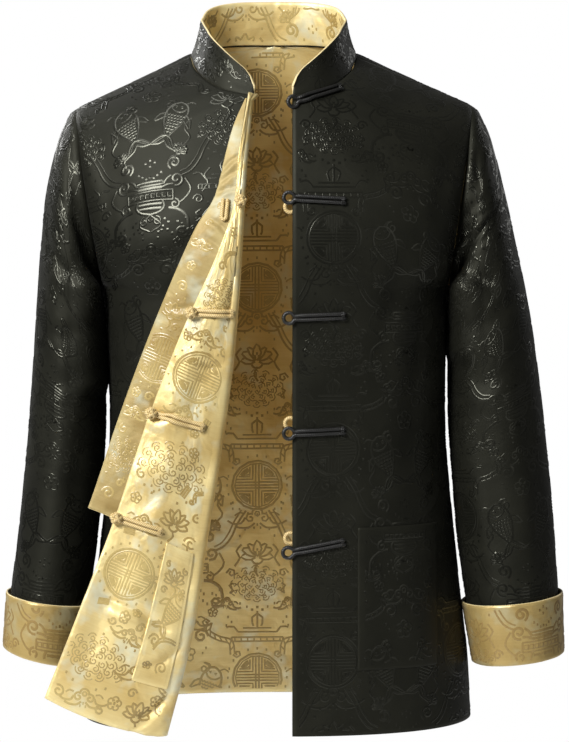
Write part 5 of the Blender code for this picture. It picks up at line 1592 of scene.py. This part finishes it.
def tube(points, radius, sides=12, closed=False):
    """A round cord along a smooth line through the points, with rounded ends."""
    points = np.array(points, float)
    if closed:
        line = points
        way = unit(np.roll(line, -1, axis=0) - np.roll(line, 1, axis=0))
        radii = np.full(len(line), radius)
    else:
        spine = distance_along(points)
        count = max(8, int(spine[-1] / 0.0012))
        line = np.array([smooth_through(spine, points, t) for t in np.linspace(0, spine[-1], count)])
        way = unit(np.gradient(line, axis=0))
        first_end, last_end = way[:1] * radius, way[-1:] * radius
        line = np.concatenate((line[:1] - first_end * 0.7, line, line[-1:] + last_end * 0.7))
        way = np.concatenate((way[:1], way, way[-1:]))
        radii = np.concatenate(([radius * 0.45], np.full(count, radius), [radius * 0.45]))
    total = len(line)
    side = np.cross(way[0], (0.0, 1.0, 0.2))
    rings = []
    for centre, ahead, wide in zip(line, way, radii):
        side = unit(side - ahead * (side @ ahead))
        rings.append(ring_of(centre, wide, side, np.cross(ahead, side), sides))
    done = distance_along(line)
    turns = np.linspace(0, 2 * np.pi, sides, endpoint=False)
    points = np.concatenate(rings)
    uvs = np.stack((np.tile(turns, total), np.repeat(done, sides)), axis=1)
    faces = skin(total, sides, closed)
    if not closed:
        points = np.concatenate((points, line[:1] - first_end * 0.2, line[-1:] + last_end * 0.2))
        uvs = np.concatenate((uvs, [[0.0, 0.0], [0.0, done[-1]]]))
        last_ring = (total - 1) * sides
        for a in range(sides):
            b = (a + 1) % sides
            faces.append((total * sides, b, a))
            faces.append((total * sides + 1, last_ring + a, last_ring + b))
    return points, faces, uvs


def add_frog(name, parts, material, slot):
    """One piece of silk from parts, each of which is its points, its faces and their cloth coordinates."""
    starts = np.cumsum([0] + [len(points) for points, _, _ in parts])
    faces = []
    for start, (_, part_faces, _) in zip(starts, parts):
        faces += [[corner + start for corner in face] for face in part_faces]
    points, uvs = (np.concatenate([part[k] for part in parts]) for k in (0, 2))
    finish_piece(add_mesh(name + "_silk", points, faces, [material], uvs=uvs), slot, name)


def two_legs(tree, far, near, steps, inside=False):
    """Two rows of points that lie side by side on a cloth, from the sewn end to the other one."""
    far, near = np.array(far), np.array(near)
    along = unit(near - far)
    aside = np.array((-along[1], along[0])) * CORD_SPACING * 0.92
    return [[seat_on(tree, *(far + (near - far) * share + way), CORD_RADIUS + CORD_GAP, inside)
             for share in np.linspace(0.0, 1.0, steps)] for way in (aside, -aside)]


def binding(first, second, further_up):
    """A few turns of thread that bind the sewn ends of two legs. further_up is a place on the first leg."""
    along, rise = unit(further_up - first), unit(first - second)
    out = np.cross(along, rise)
    parts = []
    for k in range(3):
        middle = (first + second) / 2.0 + along * (0.0012 + 0.0011 * k)
        ring = ring_of(middle, 1.0, (CORD_SPACING + 0.0022) * rise, 0.0026 * out, 18)
        parts.append(tube(ring, BINDING_RADIUS, sides=6, closed=True))
    return parts


def add_loop(name, end, start, reach, material, slot, inside=False):
    """A cord up one leg from the sewn end, round the eye and back down the other leg, and its binding."""
    upper, lower = two_legs(front_left_tree, end, start, 9, inside)
    level = (upper[-1] + lower[-1]) / 2.0
    toward = unit(level - (upper[-3] + lower[-3]) / 2.0)
    slope_x, slope_z = unit(np.array(start) - np.array(end))
    rise = np.array((-slope_z, 0.0, slope_x))
    eye = [level + toward * reach + EYE_RADIUS * (math.cos(turn) * toward + math.sin(turn) * rise)
           for turn in np.radians((125, 95, 60, 30, 0, -30, -60, -95, -125))]
    cord = tube(upper + eye + lower[::-1], CORD_RADIUS)
    add_frog(name, [cord] + binding(upper[0], lower[0], upper[3]), material, slot)


add_loop("frog_loop_1", (0.0720, -0.0385), (0.0250, -0.0530), 0.0045, black_cord, "black_cord")
# Number, height of the eye, height of the sewn end and how far the eye reaches past the edge.
for number, eye_z, tail_z, reach in ((2, -0.1560, -0.1590, 0.0055), (3, -0.2825, -0.2805, 0.0055),
                                     (4, -0.4060, -0.4040, 0.0055), (5, -0.5330, -0.5235, 0.0065)):
    add_loop(f"frog_loop_{number}", (LEFT_EDGE_X + FROG_LENGTH, tail_z), (LEFT_EDGE_X + 0.0015, eye_z), reach,
             black_cord, "black_cord")
for number, eye_z, tail_z in ((2, -0.1650, -0.1680), (4, -0.3960, -0.3950), (5, -0.5190, -0.5130)):
    add_loop(f"lining_loop_{number}", (LEFT_EDGE_X + FROG_LENGTH, tail_z), (LEFT_EDGE_X + 0.0015, eye_z),
             0.0040, gold_cord, "gold_cord", inside=True)

KNOT_FACES = np.array((-0.25, -1.0, 0.1))
KNOT_RADIUS = 0.0045
KNOT_CORD_RADIUS = 0.0019
KNOT_CORE_RADIUS = 0.0042
KNOT_CORE_RINGS = 9
KNOT_CORE_SIDES = 14


def ball_knot(centre):
    """A ball of three interwoven passes of cord round a small core."""
    outward = unit(KNOT_FACES)
    side = unit(np.cross(outward, (0.0, 0.0, 1.0)))
    up = np.cross(side, outward)
    passes = []
    for t in np.linspace(0.0, 6.0 * np.pi, 150, endpoint=False):
        height = math.radians(54.0) * math.sin(t * 4.0 / 3.0)
        radius = KNOT_RADIUS + 0.0005 * math.cos(t * 8.0 / 3.0 + 0.6)
        level = math.cos(t) * side + math.sin(t) * up
        passes.append(centre + radius * (math.cos(height) * level + math.sin(height) * outward))
    core = []
    for k in range(KNOT_CORE_RINGS):
        height = math.pi * (k + 0.5) / KNOT_CORE_RINGS - math.pi / 2
        core.append(ring_of(centre + KNOT_CORE_RADIUS * math.sin(height) * outward,
                            KNOT_CORE_RADIUS * math.cos(height), side, up, KNOT_CORE_SIDES))
    points = np.concatenate(core)
    faces = skin(KNOT_CORE_RINGS, KNOT_CORE_SIDES)
    faces += [range(KNOT_CORE_SIDES)[::-1], range(len(points) - KNOT_CORE_SIDES, len(points))]
    return [tube(passes, KNOT_CORD_RADIUS, sides=10, closed=True), (points, faces, points[:, [0, 2]] * 100)]


# Number, and the far end of the knot's cords in the front view.
for number, far in ((2, (-0.0520, -0.1765)), (3, (-0.0430, -0.2772)), (4, (-0.0740, -0.3984)),
                    (5, (-0.1194, -0.5093))):
    low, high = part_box(f"frog_knot_{number}")
    centre = (np.array(low) + np.array(high)) / 2.0
    add_frog(f"frog_knot_{number}", ball_knot(centre), gold_cord, "gold_cord")
    if number == 2:
        # The topmost cord lies on the strip, apart from its knot: it runs down, turns and runs back up.
        upper, lower = two_legs(button_stand_tree, far, (-0.0502, -0.1575), 8)
        turn = (upper[0] + lower[0]) / 2.0 + unit(upper[0] - upper[1]) * CORD_SPACING
        parts = [tube(upper[::-1] + [turn] + lower, CORD_RADIUS)]
    else:
        near = centre[[0, 2]]
        upper, lower = two_legs(front_right_tree, far, near - unit(near - far) * 0.0050, 8)
        parts = [tube(upper, CORD_RADIUS), tube(lower, CORD_RADIUS)] + binding(upper[0], lower[0], upper[3])
    add_frog(f"frog_cord_{number}", parts, gold_cord, "gold_cord")
